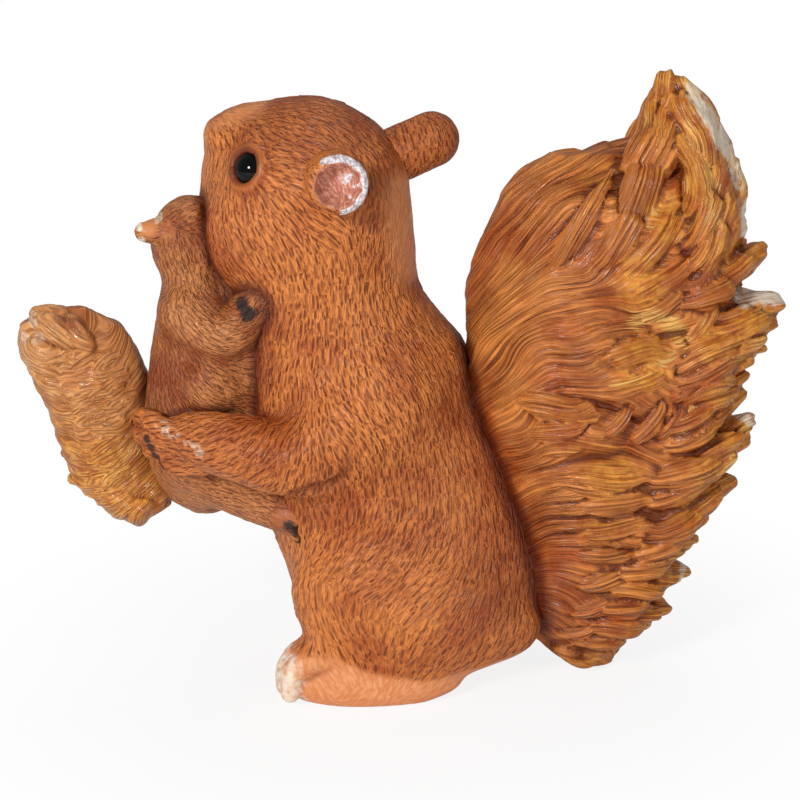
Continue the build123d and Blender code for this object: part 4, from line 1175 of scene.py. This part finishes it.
class Lock:
    """A curved leaf of hair: a flattened tube with its own lengths along it and
    across it. It has a size, as a share of its breadth, at each of its points."""

    def __init__(self, points, breadth, thickness, sizes):
        points = np.array(points, float)
        points[-1] -= unit(points[-1] - points[-2]) * thickness * sizes[-1] * 0.45
        points, self.sizes = curve(points, sizes, 5)
        self.a, self.b = points[:-1], points[1:]
        self.breadth, self.thickness = breadth, thickness
        lengths = np.linalg.norm(self.b - self.a, axis=1)
        self.starts = np.concatenate(([0], np.cumsum(lengths)))
        reach = max(breadth, thickness) * 1.2 + 1.5
        self.low, self.high = points.min(0) - reach, points.max(0) + reach

    def read(self, x, y, z):
        """Distance outside the lock, and places along and across it."""
        result = None
        for number, (a, b) in enumerate(zip(self.a, self.b)):
            length = np.linalg.norm(b - a)
            forward = (b - a) / length
            side = unit(np.cross(forward, (0, 1, 0)))
            offset = (x - a[0], y - a[1], z - a[2])
            t = np.clip(dot(offset, forward) / length, 0, 1)
            size = self.sizes[number] + (self.sizes[number + 1] - self.sizes[number]) * t
            offset = [part - t * length * axis for part, axis in zip(offset, forward)]
            over, across, outward = (dot(offset, axis) for axis in (forward, side, np.cross(side, forward)))
            wide, thick = self.breadth * size, self.thickness * size
            near = np.sqrt((across / wide) ** 2 + (outward / thick) ** 2 + (over / thick) ** 2)
            gap = np.sqrt(across ** 2 + outward ** 2 + over ** 2)
            far = (near - 1) * (gap + 0.01 * thick) / (near + 0.01)
            row = (far, self.starts[number] + t * length + over, across + 0.35 * outward)
            if result is None:
                result = row
            else:
                closer = far < result[0]
                result = tuple(np.where(closer, new, old) for new, old in zip(row, result))
        return result

    def field(self, x, y, z):
        return self.read(x, y, z)[0]


# How much a place across the tail counts across the hair, and the two flanks'
# places in the noise. Each lock has one too
ACROSS_SHARE = 0.8
LEFT_PLACE, RIGHT_PLACE = 3.0, 9.0
LOCK_PLACE, LOCK_STEP = 20.0, 1.7


class Streams:
    """Two lengths at each place in the XZ plane: along the hair and across it."""

    def __init__(self, flow, low, high):
        self.low = np.array(low, float)
        size = [int(b - a) for a, b in zip(low, high)]
        x, z = np.meshgrid(low[0] + np.arange(size[0]), low[1] + np.arange(size[1]), indexing="ij")
        heading = flow.level(np.column_stack((x.ravel(), 0 * x.ravel(), z.ravel()))).reshape(*size, 2)
        self.maps = [self.solve(heading[..., 0], heading[..., 1]),
                     self.solve(-heading[..., 1], heading[..., 0])]

    @staticmethod
    def solve(slope_x, slope_z):
        """The heights whose slopes come nearest to these."""
        change = np.zeros(slope_x.shape)
        edge = (slope_x[1:] + slope_x[:-1]) / 2
        change[1:] += edge
        change[:-1] -= edge
        edge = (slope_z[:, 1:] + slope_z[:, :-1]) / 2
        change[:, 1:] += edge
        change[:, :-1] -= edge
        mirrored_change = np.block([[change, change[:, ::-1]], [change[::-1], change[::-1, ::-1]]])
        waves = [2 - 2 * np.cos(2 * np.pi * np.arange(n) / n) for n in mirrored_change.shape]
        scale = waves[0][:, None] + waves[1][None, :]
        scale[0, 0] = 1
        spectrum = np.fft.fft2(mirrored_change) / scale
        spectrum[0, 0] = 0
        return np.fft.ifft2(spectrum).real[:change.shape[0], :change.shape[1]]

    def __call__(self, points):
        place = points[:, (0, 2)] - self.low
        base = np.clip(np.floor(place).astype(int), 0, np.array(self.maps[0].shape) - 2)
        f = np.clip(place - base, 0, 1)
        rows = []
        i, j = base.T
        for heights in self.maps:
            rows.append((heights[i, j] * (1 - f[:, 0]) + heights[i + 1, j] * f[:, 0]) * (1 - f[:, 1])
                        + (heights[i, j + 1] * (1 - f[:, 0]) + heights[i + 1, j + 1] * f[:, 0]) * f[:, 1])
        along, across = rows
        flank = np.where(points[:, 1] < 0, LEFT_PLACE, RIGHT_PLACE)
        return np.column_stack((along, across + ACROSS_SHARE * points[:, 1], flank))


def wavy(places, sway, reach):
    """Hair coordinates with slow waves across the hair."""
    drift = noise(places * (1 / reach, 1 / (0.7 * reach), 1.0) + 3.7) - 0.5
    finer = noise(places * (2.3 / reach, 2.0 / reach, 1.0) + 11.2) - 0.5
    bent = places.copy()
    bent[:, 1] += sway * (2.0 * drift + 0.9 * finer)
    return bent


def hair_coordinates(points, locks, streams, core):
    """Places along and across the hair at each point, on its own lock and on the
    tail's core, and how much the lock counts."""
    own = streams(points)
    best = np.full(len(points), 1e9)
    lock_tip = np.zeros(len(points))
    for number, one in enumerate(locks):
        close = ((points > one.low) & (points < one.high)).all(1)
        if not close.any():
            continue
        far, along, across = one.read(*points[close].T)
        nearer = far < best[close]
        chosen = np.flatnonzero(close)[nearer]
        best[chosen] = far[nearer]
        own[chosen] = np.column_stack((along[nearer], across[nearer],
                                       np.full(nearer.sum(), LOCK_PLACE + LOCK_STEP * number)))
        lock_tip[chosen] = along[nearer] / one.starts[-1]
    share = step_up(core(*points.T) - best, -0.3, 0.9)
    return own, share, np.clip(lock_tip, 0, 1) * share


def haired(skin, locks, streams, core, sway, reach):
    """Gives a skin its places along and across the hair, with waves that sway
    this far in mm about once in this reach."""
    own, skin.share, skin.tip = hair_coordinates(skin.points, locks, streams, core)
    base = streams(skin.points)
    skin.at_points = [own, base]
    middle, _, _ = hair_coordinates(skin.points[skin.faces].mean(1), locks, streams, core)
    corner_points = skin.points[skin.faces.reshape(-1)]
    corner_own = own[skin.faces.reshape(-1)]
    owner = np.repeat(middle[:, 2], 4)
    # A corner on another lock takes its face's place, so that no stroke jumps
    wrong = corner_own[:, 2] != owner
    corner_own[wrong] = np.repeat(middle, 4, axis=0)[wrong]
    skin.at_corners = [corner_own, streams(corner_points)]
    for rows in (skin.at_points, skin.at_corners):
        rows[0] = wavy(rows[0], 0.35 * sway, reach)
        rows[1] = wavy(rows[1], sway, reach)


def core_half_width(form, x, z):
    """How far a loft reaches out from its middle plane at this place."""
    centre, half_length, half_width = form.sizes(z)
    return half_width * math.sqrt(max(1 - ((x - centre) / half_length) ** 2, 0))


CREST_TAPER = (0.5, 0.80, 0.78, 0.36)
RIM_TAPER = (0.5, 1.0, 1.02, 0.62)
SIDE_TAPER = (0.45, 1.0, 0.92, 0.36)
RIM_THICKNESS = 0.16 * TAIL_THICKNESS
# Beside a rim lock on each flank: place across, reach, drop in mm and size
FLANK_ROWS = ((0.55, 0.86, 0.0, 0.95), (0.8, 0.66, 2.5, 0.85))
# How deep a side lock's four places lie, and the least that they stand out
SUNK = (0.14, 0.03, 0.0, 0.02)
LEAST_OUT = 5.0


def rim_locks():
    """A lock on the middle plane for each row, and four shorter ones beside it."""
    for number, (*places, breadth) in enumerate(RIM_LOCKS):
        crest = number == 0
        breadth *= TAIL_LENGTH
        taper = CREST_TAPER if crest else RIM_TAPER
        closing = np.array([[1.0], [1.0], [0.92], [0.3 if crest else 0.75]])
        spine = np.array([(along * TAIL_LENGTH, 0.0, height * TAIL_HEIGHT) for along, height in places])
        yield Lock(spine, breadth, RIM_THICKNESS, taper)
        out = core_half_width(TAIL, *spine[0, (0, 2)])
        for side in SIDES:
            for across, reach, drop, size in FLANK_ROWS:
                reach -= 0.04 if crest else 0
                row = spine[0] + (spine - spine[0]) * reach - np.array((0, 0, drop))
                row = row + np.array((0, side * across * out, 0)) * closing
                yield Lock(row, breadth * size, RIM_THICKNESS * size * 0.85, taper)


def side_locks(table, seat, flatness):
    """A lock for each row on each flank, seated on the core."""
    for *places, breadth in table:
        breadth *= TAIL_LENGTH
        for side in SIDES:
            row = []
            for (along, height), sunk in zip(places, SUNK):
                x, z = along * TAIL_LENGTH, height * TAIL_HEIGHT
                row.append((x, side * max((seat - sunk) * core_half_width(TAIL, x, z), LEAST_OUT), z))
            yield Lock(row, breadth, flatness * breadth, SIDE_TAPER)


locks = [*rim_locks(), *side_locks(SIDE_LOCKS, 0.93, 0.7), *side_locks(SMALL_SIDE_LOCKS, 0.99, 0.62)]

tail_space = Space((13, -24, -1.5), (101, 24, 160), 0.64)
values = tail_space.fill(TAIL)
for one in locks:
    tail_space.add(values, one.field, one.low, one.high, 1.3)
values = np.maximum(values, -tail_space.z)
tail = Skin(tail_space, values, None, rounds=2)
streams = Streams(TAIL_FLOW, (8, -6), (106, 166))
haired(tail, locks, streams, TAIL, 6.5, 24.0)
x, y, z = tail.points.T
# Broad ridges, finer ones and hairs, all stronger towards the rim. The upper
# front edge and the sides of the foot are cut back
rough_area = step_up(x, 30, 58)
ridge = np.minimum(np.abs(2 * tail.grain(24.0, 6.0, 2.0) - 1) * 2.6, 1)
second_ridge = np.minimum(np.abs(2 * tail.grain(13.0, 2.6) - 1) * 2.2, 1)
narrow = tail.grain(8.0, 1.2, 5.0)
front_top = step_up(z, 106, 120) * step_up(x, 58, 44)
low = step_up(z, 14, 4) * step_up(np.abs(y), 3, 8)
broad = 2.4 * (ridge - 0.8) * (0.3 + 0.7 * rough_area) * (1 - 0.5 * tail.share)
fine = 0.75 * (second_ridge - 0.7) * (0.4 + 0.6 * rough_area) + 0.22 * (narrow - 0.5)
cut_back = 0.2 + 1.3 * front_top + 1.6 * low
tail.raise_by((broad + fine - cut_back) * step_up(z, 0.5, 8))
tail.points = relax(tail.points, tail.faces, 1)
tail.points[:, 2] = np.maximum(tail.points[:, 2], 0)
tail.paint("gold", tail.tip ** 1.5 * 0.75)
# Gold patches; russet spots as painted shade along the edge against the body and in hollows; lighter spots on
# the front
for name, depth, places in (
    ("gold", -12, [
        (640, 355, 34, 0.9), (640, 275, 34, 0.8), (670, 215, 30, 0.9), (700, 175, 26, 0.8),
        (610, 465, 34, 0.7), (690, 120, 30, 0.7), (600, 185, 30, 0.5), (720, 250, 26, 0.7),
        (760, 320, 26, 0.8), (710, 340, 20, 0.8), (600, 525, 24, 0.6), (690, 500, 20, 0.8),
        (735, 440, 24, 0.7), (560, 405, 20, 0.5), (650, 590, 24, 0.6), (720, 395, 22, 0.8),
        (640, 545, 20, 0.5), (560, 345, 20, 0.35)]),
    ("russet_and_shade", -14, [
        (470, 300, 24, 0.7), (480, 380, 24, 0.8), (520, 450, 30, 0.9), (550, 520, 30, 0.9),
        (560, 600, 30, 0.8), (560, 640, 26, 0.7), (620, 320, 20, 0.6), (600, 400, 26, 0.6),
        (690, 295, 18, 0.7), (580, 350, 18, 0.5), (640, 400, 24, 0.7), (700, 500, 16, 0.7),
        (600, 240, 20, 0.3), (700, 370, 18, 0.6)]),
    ("light_paint_and_highlight", -14, [
        (520, 350, 40, 0.6), (540, 290, 40, 0.5), (620, 220, 30, 0.7), (540, 200, 36, 0.5),
        (520, 390, 26, 0.7)]),
):
    tail.dab(name, depth, places)
# The translucent white edge behind the crest, on the near side above all, with a painted glint along it
edge = line(tail.points, [(690, 84), (702, 104), (716, 126), (726, 150), (738, 176), (745, 200), (746, 228)],
            0, 3.5)
edge = edge * (0.45 + 0.55 * step_up(y, 5, -2))
tail.paint("pale", edge * (0.28 + 0.85 * tail.grain(6.0, 2.0, 8.0)))
tail.paint("painted_glint", 0.7 * edge)
# White patches, and painted glints in strokes
for name, depth, width, strength, places in (
    ("pale", 0, 3.0, 0.75, [(738, 292), (756, 294), (784, 297)]),
    ("pale", 0, 2.6, 0.70, [(738, 412), (752, 420)]),
    ("pale", 0, 2.0, 0.70, [(678, 572), (686, 560)]),
    ("painted_glint", -18, 5.0, 0.75, [(636, 322), (654, 316), (672, 326), (684, 344)]),
    ("painted_glint", -10, 5.0, 0.60, [(690, 130), (704, 160), (712, 190), (716, 220)]),
):
    tail.stroke(name, depth, width, places, strength)
# Broken painted glints along a few locks, and on the lock tips
gleam = 0.05 + 0.9 * tail.grain(7.0, 1.4, 6.0)
for path in ([(701, 322), (708, 340), (706, 360)], [(694, 402), (688, 420), (682, 436)],
             [(704, 518), (716, 502)], [(636, 372), (656, 366), (672, 352)], [(612, 380), (640, 378)],
             [(700, 168), (690, 190)], [(660, 200), (650, 225)], [(640, 485), (646, 490)]):
    tail.stroke("painted_glint", -16, 3.2, path, gleam)
tail.paint("painted_glint", 0.8 * tail.tip ** 2 * tail.grain(6.0, 3.0, 4.0))
# Russet streaks at random, and painted shade where the tail meets the body
tail.paint("russet_and_shade", 0.7 * step_up(tail.grain(16.0, 5.0, 12.0), 0.55, 0.8) * step_up(x, 30, 50))
tail.paint("crease_shade", step_up(body(x, y, z), 5.5, 1.0))
tail.paint("coarse", np.full(len(x), 0.35))
tail.finish()
tail.piece("mother_tail_skin", TAIL_FUR, "mother_tail", "tail_paint")

# The young squirrel
BABY_MIDDLE = -1.65
BABY = Loft([
    (46.5, -51.9, 4.1, 3.9), (50.7, -51.9, 10.4, 9.4), (59.9, -52.5, 13.9, 12.5), (74.2, -52.8, 13.6, 13),
    (88.5, -51.6, 12.2, 12), (99.4, -50.8, 10.4, 10.4), (109.5, -50.4, 8.3, 8.8), (116.2, -51.6, 7.5, 7.8)],
    middle=BABY_MIDDLE)
# Torso, head, muzzle, both ears, and the side that is pressed to the larger one
baby_parts = [
    (BABY, 1), (egg((-50.7, -2.2, 119.4), (9.9, 10.0, 11.0)), 4),
    (chain([(-52.5, 2.5, 118.3), (-54.5, 11.3, 116.2)], [7.5, 4.5]), 4),
    (limb([(-54.0, -5.5, 121.0), (-57.8, -7.0, 122.6), (-61.2, -7.8, 122.8)], [4.4, 3.4, 2.6]), 1.6),
    (chain([(-49.6, -6.9, 125.7), (-49, -8.5, 127.7)], [4.2, 2.6]), 3),
    (limb([(-45.0, -1.0, 124.0), (-41.0, -2.0, 114.0), (-36.5, -4.0, 104.0), (-35.8, -5.5, 94.0),
           (-37.0, -5.5, 84.0), (-37.6, -5.0, 76.0)], [5.0, 6.0, 6.4, 7.4, 8.0, 8.0]), 3)]
BABY_ARM = [(-51.9, 7.8, 101.9), (-41.9, 11.2, 97.4), (-32.2, 11.6, 106.2)]
BABY_LEG = [(-53.1, 6.8, 62), (-41.3, 8.8, 54.6), (-27.6, 13.6, 49.4)]
BABY_CLAWS = 3
# Haunch, arm and leg of each side, with the claws of a paw and of a foot
for side in SIDES:
    baby_parts += [
        (egg((-46.1, BABY_MIDDLE + side * 8.4, 84.3), (9.4, 8.2, 8.8)), 3),
        (limb(mirrored(BABY_ARM, side, BABY_MIDDLE), [7.5, 6.4, 5.2]), 3.5),
        (limb(mirrored(BABY_LEG, side, BABY_MIDDLE), [8.5, 6.6, 5.2]), 3)]
    for number in range(BABY_CLAWS):
        paw_claw = [(-33.5 - 1.4 * number, 15.2 - 1.0 * number, 106.4 - 1.2 * number),
                    (-34.5 - 1.6 * number, 16.2 - 1.2 * number, 101.6 - 0.6 * number)]
        foot_claw = [(-27.8 + 0.6 * number, 16.4 - 1.2 * number, 48.6 - 0.6 * number),
                     (-26.6 + 1.5 * number, 17.4 - 1.0 * number, 44.4 - 0.6 * number)]
        for claw, root_radius in ((paw_claw, 1.9), (foot_claw, 2.0)):
            baby_parts.append((chain(mirrored(claw, side, BABY_MIDDLE), [root_radius, 1.2]), 0.9))
baby_space = Space((-69, -23, 40), (-17, 20, 134), 0.58)
baby_form = union(baby_parts)
values = baby_space.fill(baby_form)
BABY_FLOW = Flow([
    (174, 243, -84), (194, 265, -76), (182, 289, -85), (218, 289, -62), (206, 325, -44), (230, 337, -18),
    (242, 330, 20), (170, 350, -80), (194, 369, -52), (218, 386, -36), (157, 379, -82), (230, 393, -30),
    (177, 216, 30), (194, 483, -16), (242, 502, -10), (258, 300, 60), (150, 230, 150), (190, 205, 20),
    (165, 440, -80), (290, 530, -30), (160, 330, -84), (210, 360, -30), (240, 350, 5)], -12.0)
baby = Skin(baby_space, values, BABY_FLOW, patch=3.6, seed=60)
x, y, z = baby.points.T
baby.raise_by(0.22 * (baby.grain(4.5, 1.5) - 0.5) + 0.3 * (baby.grain(7.0, 5.0, 5.0) - 0.5))
# Black paws and foot claws, lighter spots that are partly painted highlights, a smooth pale nose and russet
# spots
for name, depth, where, places in (
    ("dark", -17, step_up(y, 2, -4), [(243, 304, 8, 1), (249, 312, 9, 1), (257, 310, 5, 0.8),
                                      (290, 521, 7, 1), (299, 527, 8, 1), (306, 538, 8, 1)]),
    ("light_paint_and_highlight", -14, 1, [(145, 228, 10, 1), (205, 300, 26, 0.6), (225, 325, 22, 0.8), (264, 290, 14, 1.0),
                      (240, 500, 40, 0.9), (215, 390, 26, 0.5), (190, 490, 30, 0.8)]),
    ("smooth", -8, 1, [(150, 226, 12, 0.9), (168, 228, 12, 0.7), (290, 503, 14, 0.8)]),
    ("pale", -8, 1, [(140, 226, 5, 0.7), (143, 238, 5, 0.7), (158, 218, 6, 0.5), (205, 411, 5, 0.7),
                     (196, 404, 4, 0.6)]),
    ("russet_and_shade", -8, 1, [(290, 503, 12, 0.5), (160, 300, 14, 0.6), (160, 370, 20, 0.9), (225, 300, 14, 0.8),
                     (165, 440, 20, 0.6)]),
):
    baby.dab(name, depth, places, where)
# Painted shade in the creases against the larger squirrel
in_crease = np.minimum(body(x, y, z), np.minimum(arm(-1)(x, y, z), arm(1)(x, y, z)))
baby.paint("crease_shade", 0.9 * step_up(in_crease, 2.6, 0.2) * step_up(z, 50, 60))
baby.finish()
baby.piece("baby_body_skin", YOUNG_FUR, "baby_body", "young_fur_paint")

# The larger squirrel's creases against the young one and the tail, painted in shade, and its pieces
x, y, z = mother.points.T
mother.paint("crease_shade", 0.9 * step_up(baby_form(x, y, z), 3.2, 0.3) * step_up(z, 50, 60) * (off_body < 1.5))
mother.paint("crease_shade", 0.85 * step_up(TAIL(x, y, z), 6.0, 0.5) * (off_body < 1.5))
mother.finish()
for number, node in enumerate(MOTHER_PIECES):
    slot = "foot_paint" if "foot" in node else "fur_paint"
    mother.piece(node + "_skin", FUR, node, slot, face_part == number)

# The young one's tail
BABY_TAIL = Loft([
    (42.4, -71.9, 2.2, 2.4), (46.8, -71.0, 9.0, 6), (55.6, -74.4, 13.0, 8.8), (65, -76.6, 13.2, 10),
    (74.5, -78.4, 13.9, 10), (82.7, -80.2, 15.1, 9.4), (91, -83.0, 15.3, 8), (97.5, -84.6, 13, 5.4),
    (101.6, -85.5, 5, 1.6)], blur=7)
# Locks of its rim: picture points of the tip and the root, and half a breadth
BABY_RIM_LOCKS = [
    ((20, 335), (66, 348), 13), ((31, 311), (76, 336), 12), ((22, 352), (68, 368), 9),
    ((29, 366), (78, 382), 9), ((37, 379), (86, 394), 9), ((45, 397), (94, 406), 9),
    ((52, 415), (98, 421), 9), ((57, 434), (108, 436), 9), ((63, 452), (112, 450), 8),
    ((70, 466), (118, 461), 7), ((69, 477), (120, 470), 7), ((84, 490), (128, 478), 8),
    ((98, 501), (134, 486), 8), ((113, 513), (142, 492), 8), ((134, 521), (152, 494), 9),
    ((62, 312), (96, 338), 10)]
SMALL_TAPER = (0.6, 1.0, 1.05, 0.66)
# Each has four shorter ones beside it: place across in mm, and length, of all five
RIM_ROWS = ((0.0, 1.0), (-4.2, 0.92), (4.2, 0.92), (-7.2, 0.78), (7.2, 0.78))
small_locks = []
rng = np.random.default_rng(8)
for tip, root, breadth in BABY_RIM_LOCKS:
    for offset, reach in RIM_ROWS:
        start, end = np.array(spot(*root, 0)), np.array(spot(*tip, 0))
        end = start + (end - start) * (reach - 0.03)
        bend = rng.uniform(-1.6, 1.6)
        aside = np.cross(unit(end - start), (0, 1, 0))
        row = [start, start * 0.66 + end * 0.34 + aside * bend, start * 0.32 + end * 0.68 + aside * bend, end]
        row = np.array(row) + np.array((0, offset, 0)) * np.array([[1.0], [1.0], [0.85], [0.6]])
        small_locks.append(Lock(row, breadth * PIXEL, 2.4, SMALL_TAPER))
# Small ones strewn over both flanks, from a picture point each. The rim lies
# left of a slanting line, and a lock that would be too short there is left out
RIM_PX, RIM_PY, RIM_SLANT = 66, 335, 0.1
LEAST_LENGTH = 4
for number in range(60):
    px, py = rng.uniform(72, 132), rng.uniform(350, 492)
    x, z = at(px, py, -8)
    length = min(rng.uniform(6, 10), (px - RIM_PX - RIM_SLANT * (py - RIM_PY)) * PIXEL)
    if length < LEAST_LENGTH:
        continue
    for side in SIDES:
        row = []
        for t in np.linspace(0, 1, 4):
            turn = math.radians(192 + (py - RIM_PY) * 0.06 + 30 * math.sin(number) * (t - 0.4))
            place = (x + length * t * math.cos(turn), z + length * t * math.sin(turn))
            row.append((place[0], side * max(core_half_width(BABY_TAIL, *place) - 0.4, 1.5), place[1]))
        small_locks.append(Lock(row, rng.uniform(1.6, 2.6), 1.3, SMALL_TAPER))
small_space = Space((-101, -13, 40), (-60, 13, 104.5), 0.5)
values = small_space.fill(BABY_TAIL)
for one in small_locks:
    small_space.add(values, one.field, one.low, one.high, 0.7)
BABY_TAIL_FLOW = Flow([
    (130, 350, 196), (80, 335, 192), (40, 330, 190), (110, 390, 196), (60, 390, 192), (120, 430, 198),
    (70, 430, 194), (130, 470, 203), (100, 480, 203), (120, 500, 208)], -8.0)
small_tail = Skin(small_space, values, None, rounds=1)
haired(small_tail, small_locks, Streams(BABY_TAIL_FLOW, (-106, 34), (-55, 110)), BABY_TAIL, 2.4, 9.0)
x, y, z = small_tail.points.T
carving = 0.8 * (small_tail.grain(5.0, 2.4) - 0.5) + 0.22 * (small_tail.grain(3.0, 0.9, 3.0) - 0.5)
small_tail.raise_by(carving)
small_tail.points = relax(small_tail.points, small_tail.faces, 1)
# Gold below and lighter paint above, painted glints, a pale tip with a painted shadow behind it on top,
# russet near the root, and painted shade against the young one's body
small_tail.paint("gold", step_up(z, 88, 62) * 0.75)
small_tail.paint("light_paint_and_highlight", step_up(z, 70, 92) * 0.6)
small_tail.paint("gold", small_tail.tip * 0.5)
small_tail.paint("painted_glint", 0.55 * small_tail.grain(6.0, 2.2, 9.0))
small_tail.dab("pale", -4, [(32, 320, 10, 0.55), (24, 338, 9, 0.5), (42, 335, 9, 0.5), (60, 330, 8, 0.35)])
small_tail.dab("russet_and_shade", -6, [(75, 316, 16, 1), (135, 430, 16, 1), (140, 470, 16, 0.9), (120, 450, 16, 0.4)])
small_tail.paint("crease_shade", 0.85 * step_up(np.minimum(baby_form(x, y, z), arm(-1)(x, y, z)), 3.5, 0.5)
                 * step_up(z, 56, 66))
small_tail.finish()
small_tail.piece("baby_tail_skin", YOUNG_TAIL, "baby_tail", "young_tail_paint")

# What stays from the solids
STEEL = plain_paint("pin_steel", (0.55, 0.55, 0.57, 1), (0.45, 0.45, 0.47, 1),
                    {"Roughness": 0.35, "Metallic": 1.0})
for name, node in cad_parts.items():
    if "pin" in name or name == "baby_eye_left":
        node.data.materials.clear()
        node.data.materials.append(STEEL if "pin" in name else EYE_BLACK)

# Floor, light and surroundings
floor_mesh = bpy.data.meshes.new("floor")
floor_mesh.from_pydata([(-3, -3, 0), (3, -3, 0), (3, 3, 0), (-3, 3, 0)], [], [(0, 1, 2, 3)])
floor = add_object("floor", floor_mesh)
floor_paint = Paint("floor_paint")
floor_paint.fill(floor_paint.shader, {"Base Color": (0.95, 0.95, 0.95, 1), "Roughness": 0.9})
# To the camera the floor is mostly plain white, with part of its shadow
place = floor_paint.node("ShaderNodeTexCoord").outputs["Object"]
distance = floor_paint.node("ShaderNodeVectorMath", {0: place}, operation="LENGTH").outputs["Value"]
glow = floor_paint.node("ShaderNodeEmission", {"Color": (1, 1, 1, 1), "Strength": 1.0})
seen = floor_paint.node("ShaderNodeLightPath").outputs["Is Camera Ray"]
white = floor_paint.times(seen, floor_paint.span(distance, 0.05, 0.16, 0.85, 1.0))
both = floor_paint.node("ShaderNodeMixShader", {0: white, 1: floor_paint.shader.outputs[0],
                                                2: glow.outputs[0]})
floor_paint.fill(floor_paint.output, {0: both.outputs[0]})
floor_mesh.materials.append(floor_paint.material)
floor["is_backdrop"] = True


def area_light(name, location, target, size, power):
    """A round lamp that points at a target, in metres and watts."""
    data = bpy.data.lights.new(name, "AREA")
    data.shape = "DISK"
    data.size = size
    data.energy = power
    towards = unit(np.array(location) - np.array(target))
    level, upward = axes_across(towards)
    add_object(name, data).matrix_world = placed(level, upward, towards, location)


area_light("key", (-0.45, -0.85, 0.55), (0, 0, 0.08), 0.22, 8.0)
area_light("fill", (0.70, -0.75, 0.40), (0, 0, 0.08), 0.45, 1.9)
area_light("top", (0.1, 0.35, 0.9), (0, 0, 0.1), 0.5, 1.0)

# The surroundings light softly and look white to the camera
world = bpy.data.worlds.new("world")
bpy.context.scene.world = world
world.use_nodes = True
sky = Nodes(world.node_tree)
soft = sky.node("ShaderNodeBackground", {0: (1, 1, 1, 1), 1: 0.30})
white = sky.node("ShaderNodeBackground", {0: (1, 1, 1, 1), 1: 1.0})
seen = sky.node("ShaderNodeLightPath").outputs["Is Camera Ray"]
both = sky.node("ShaderNodeMixShader", {0: seen, 1: soft.outputs[0], 2: white.outputs[0]})
sky.node("ShaderNodeOutputWorld", {0: both.outputs[0]})
bpy.context.scene.view_settings.view_transform = "Standard"

low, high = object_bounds()
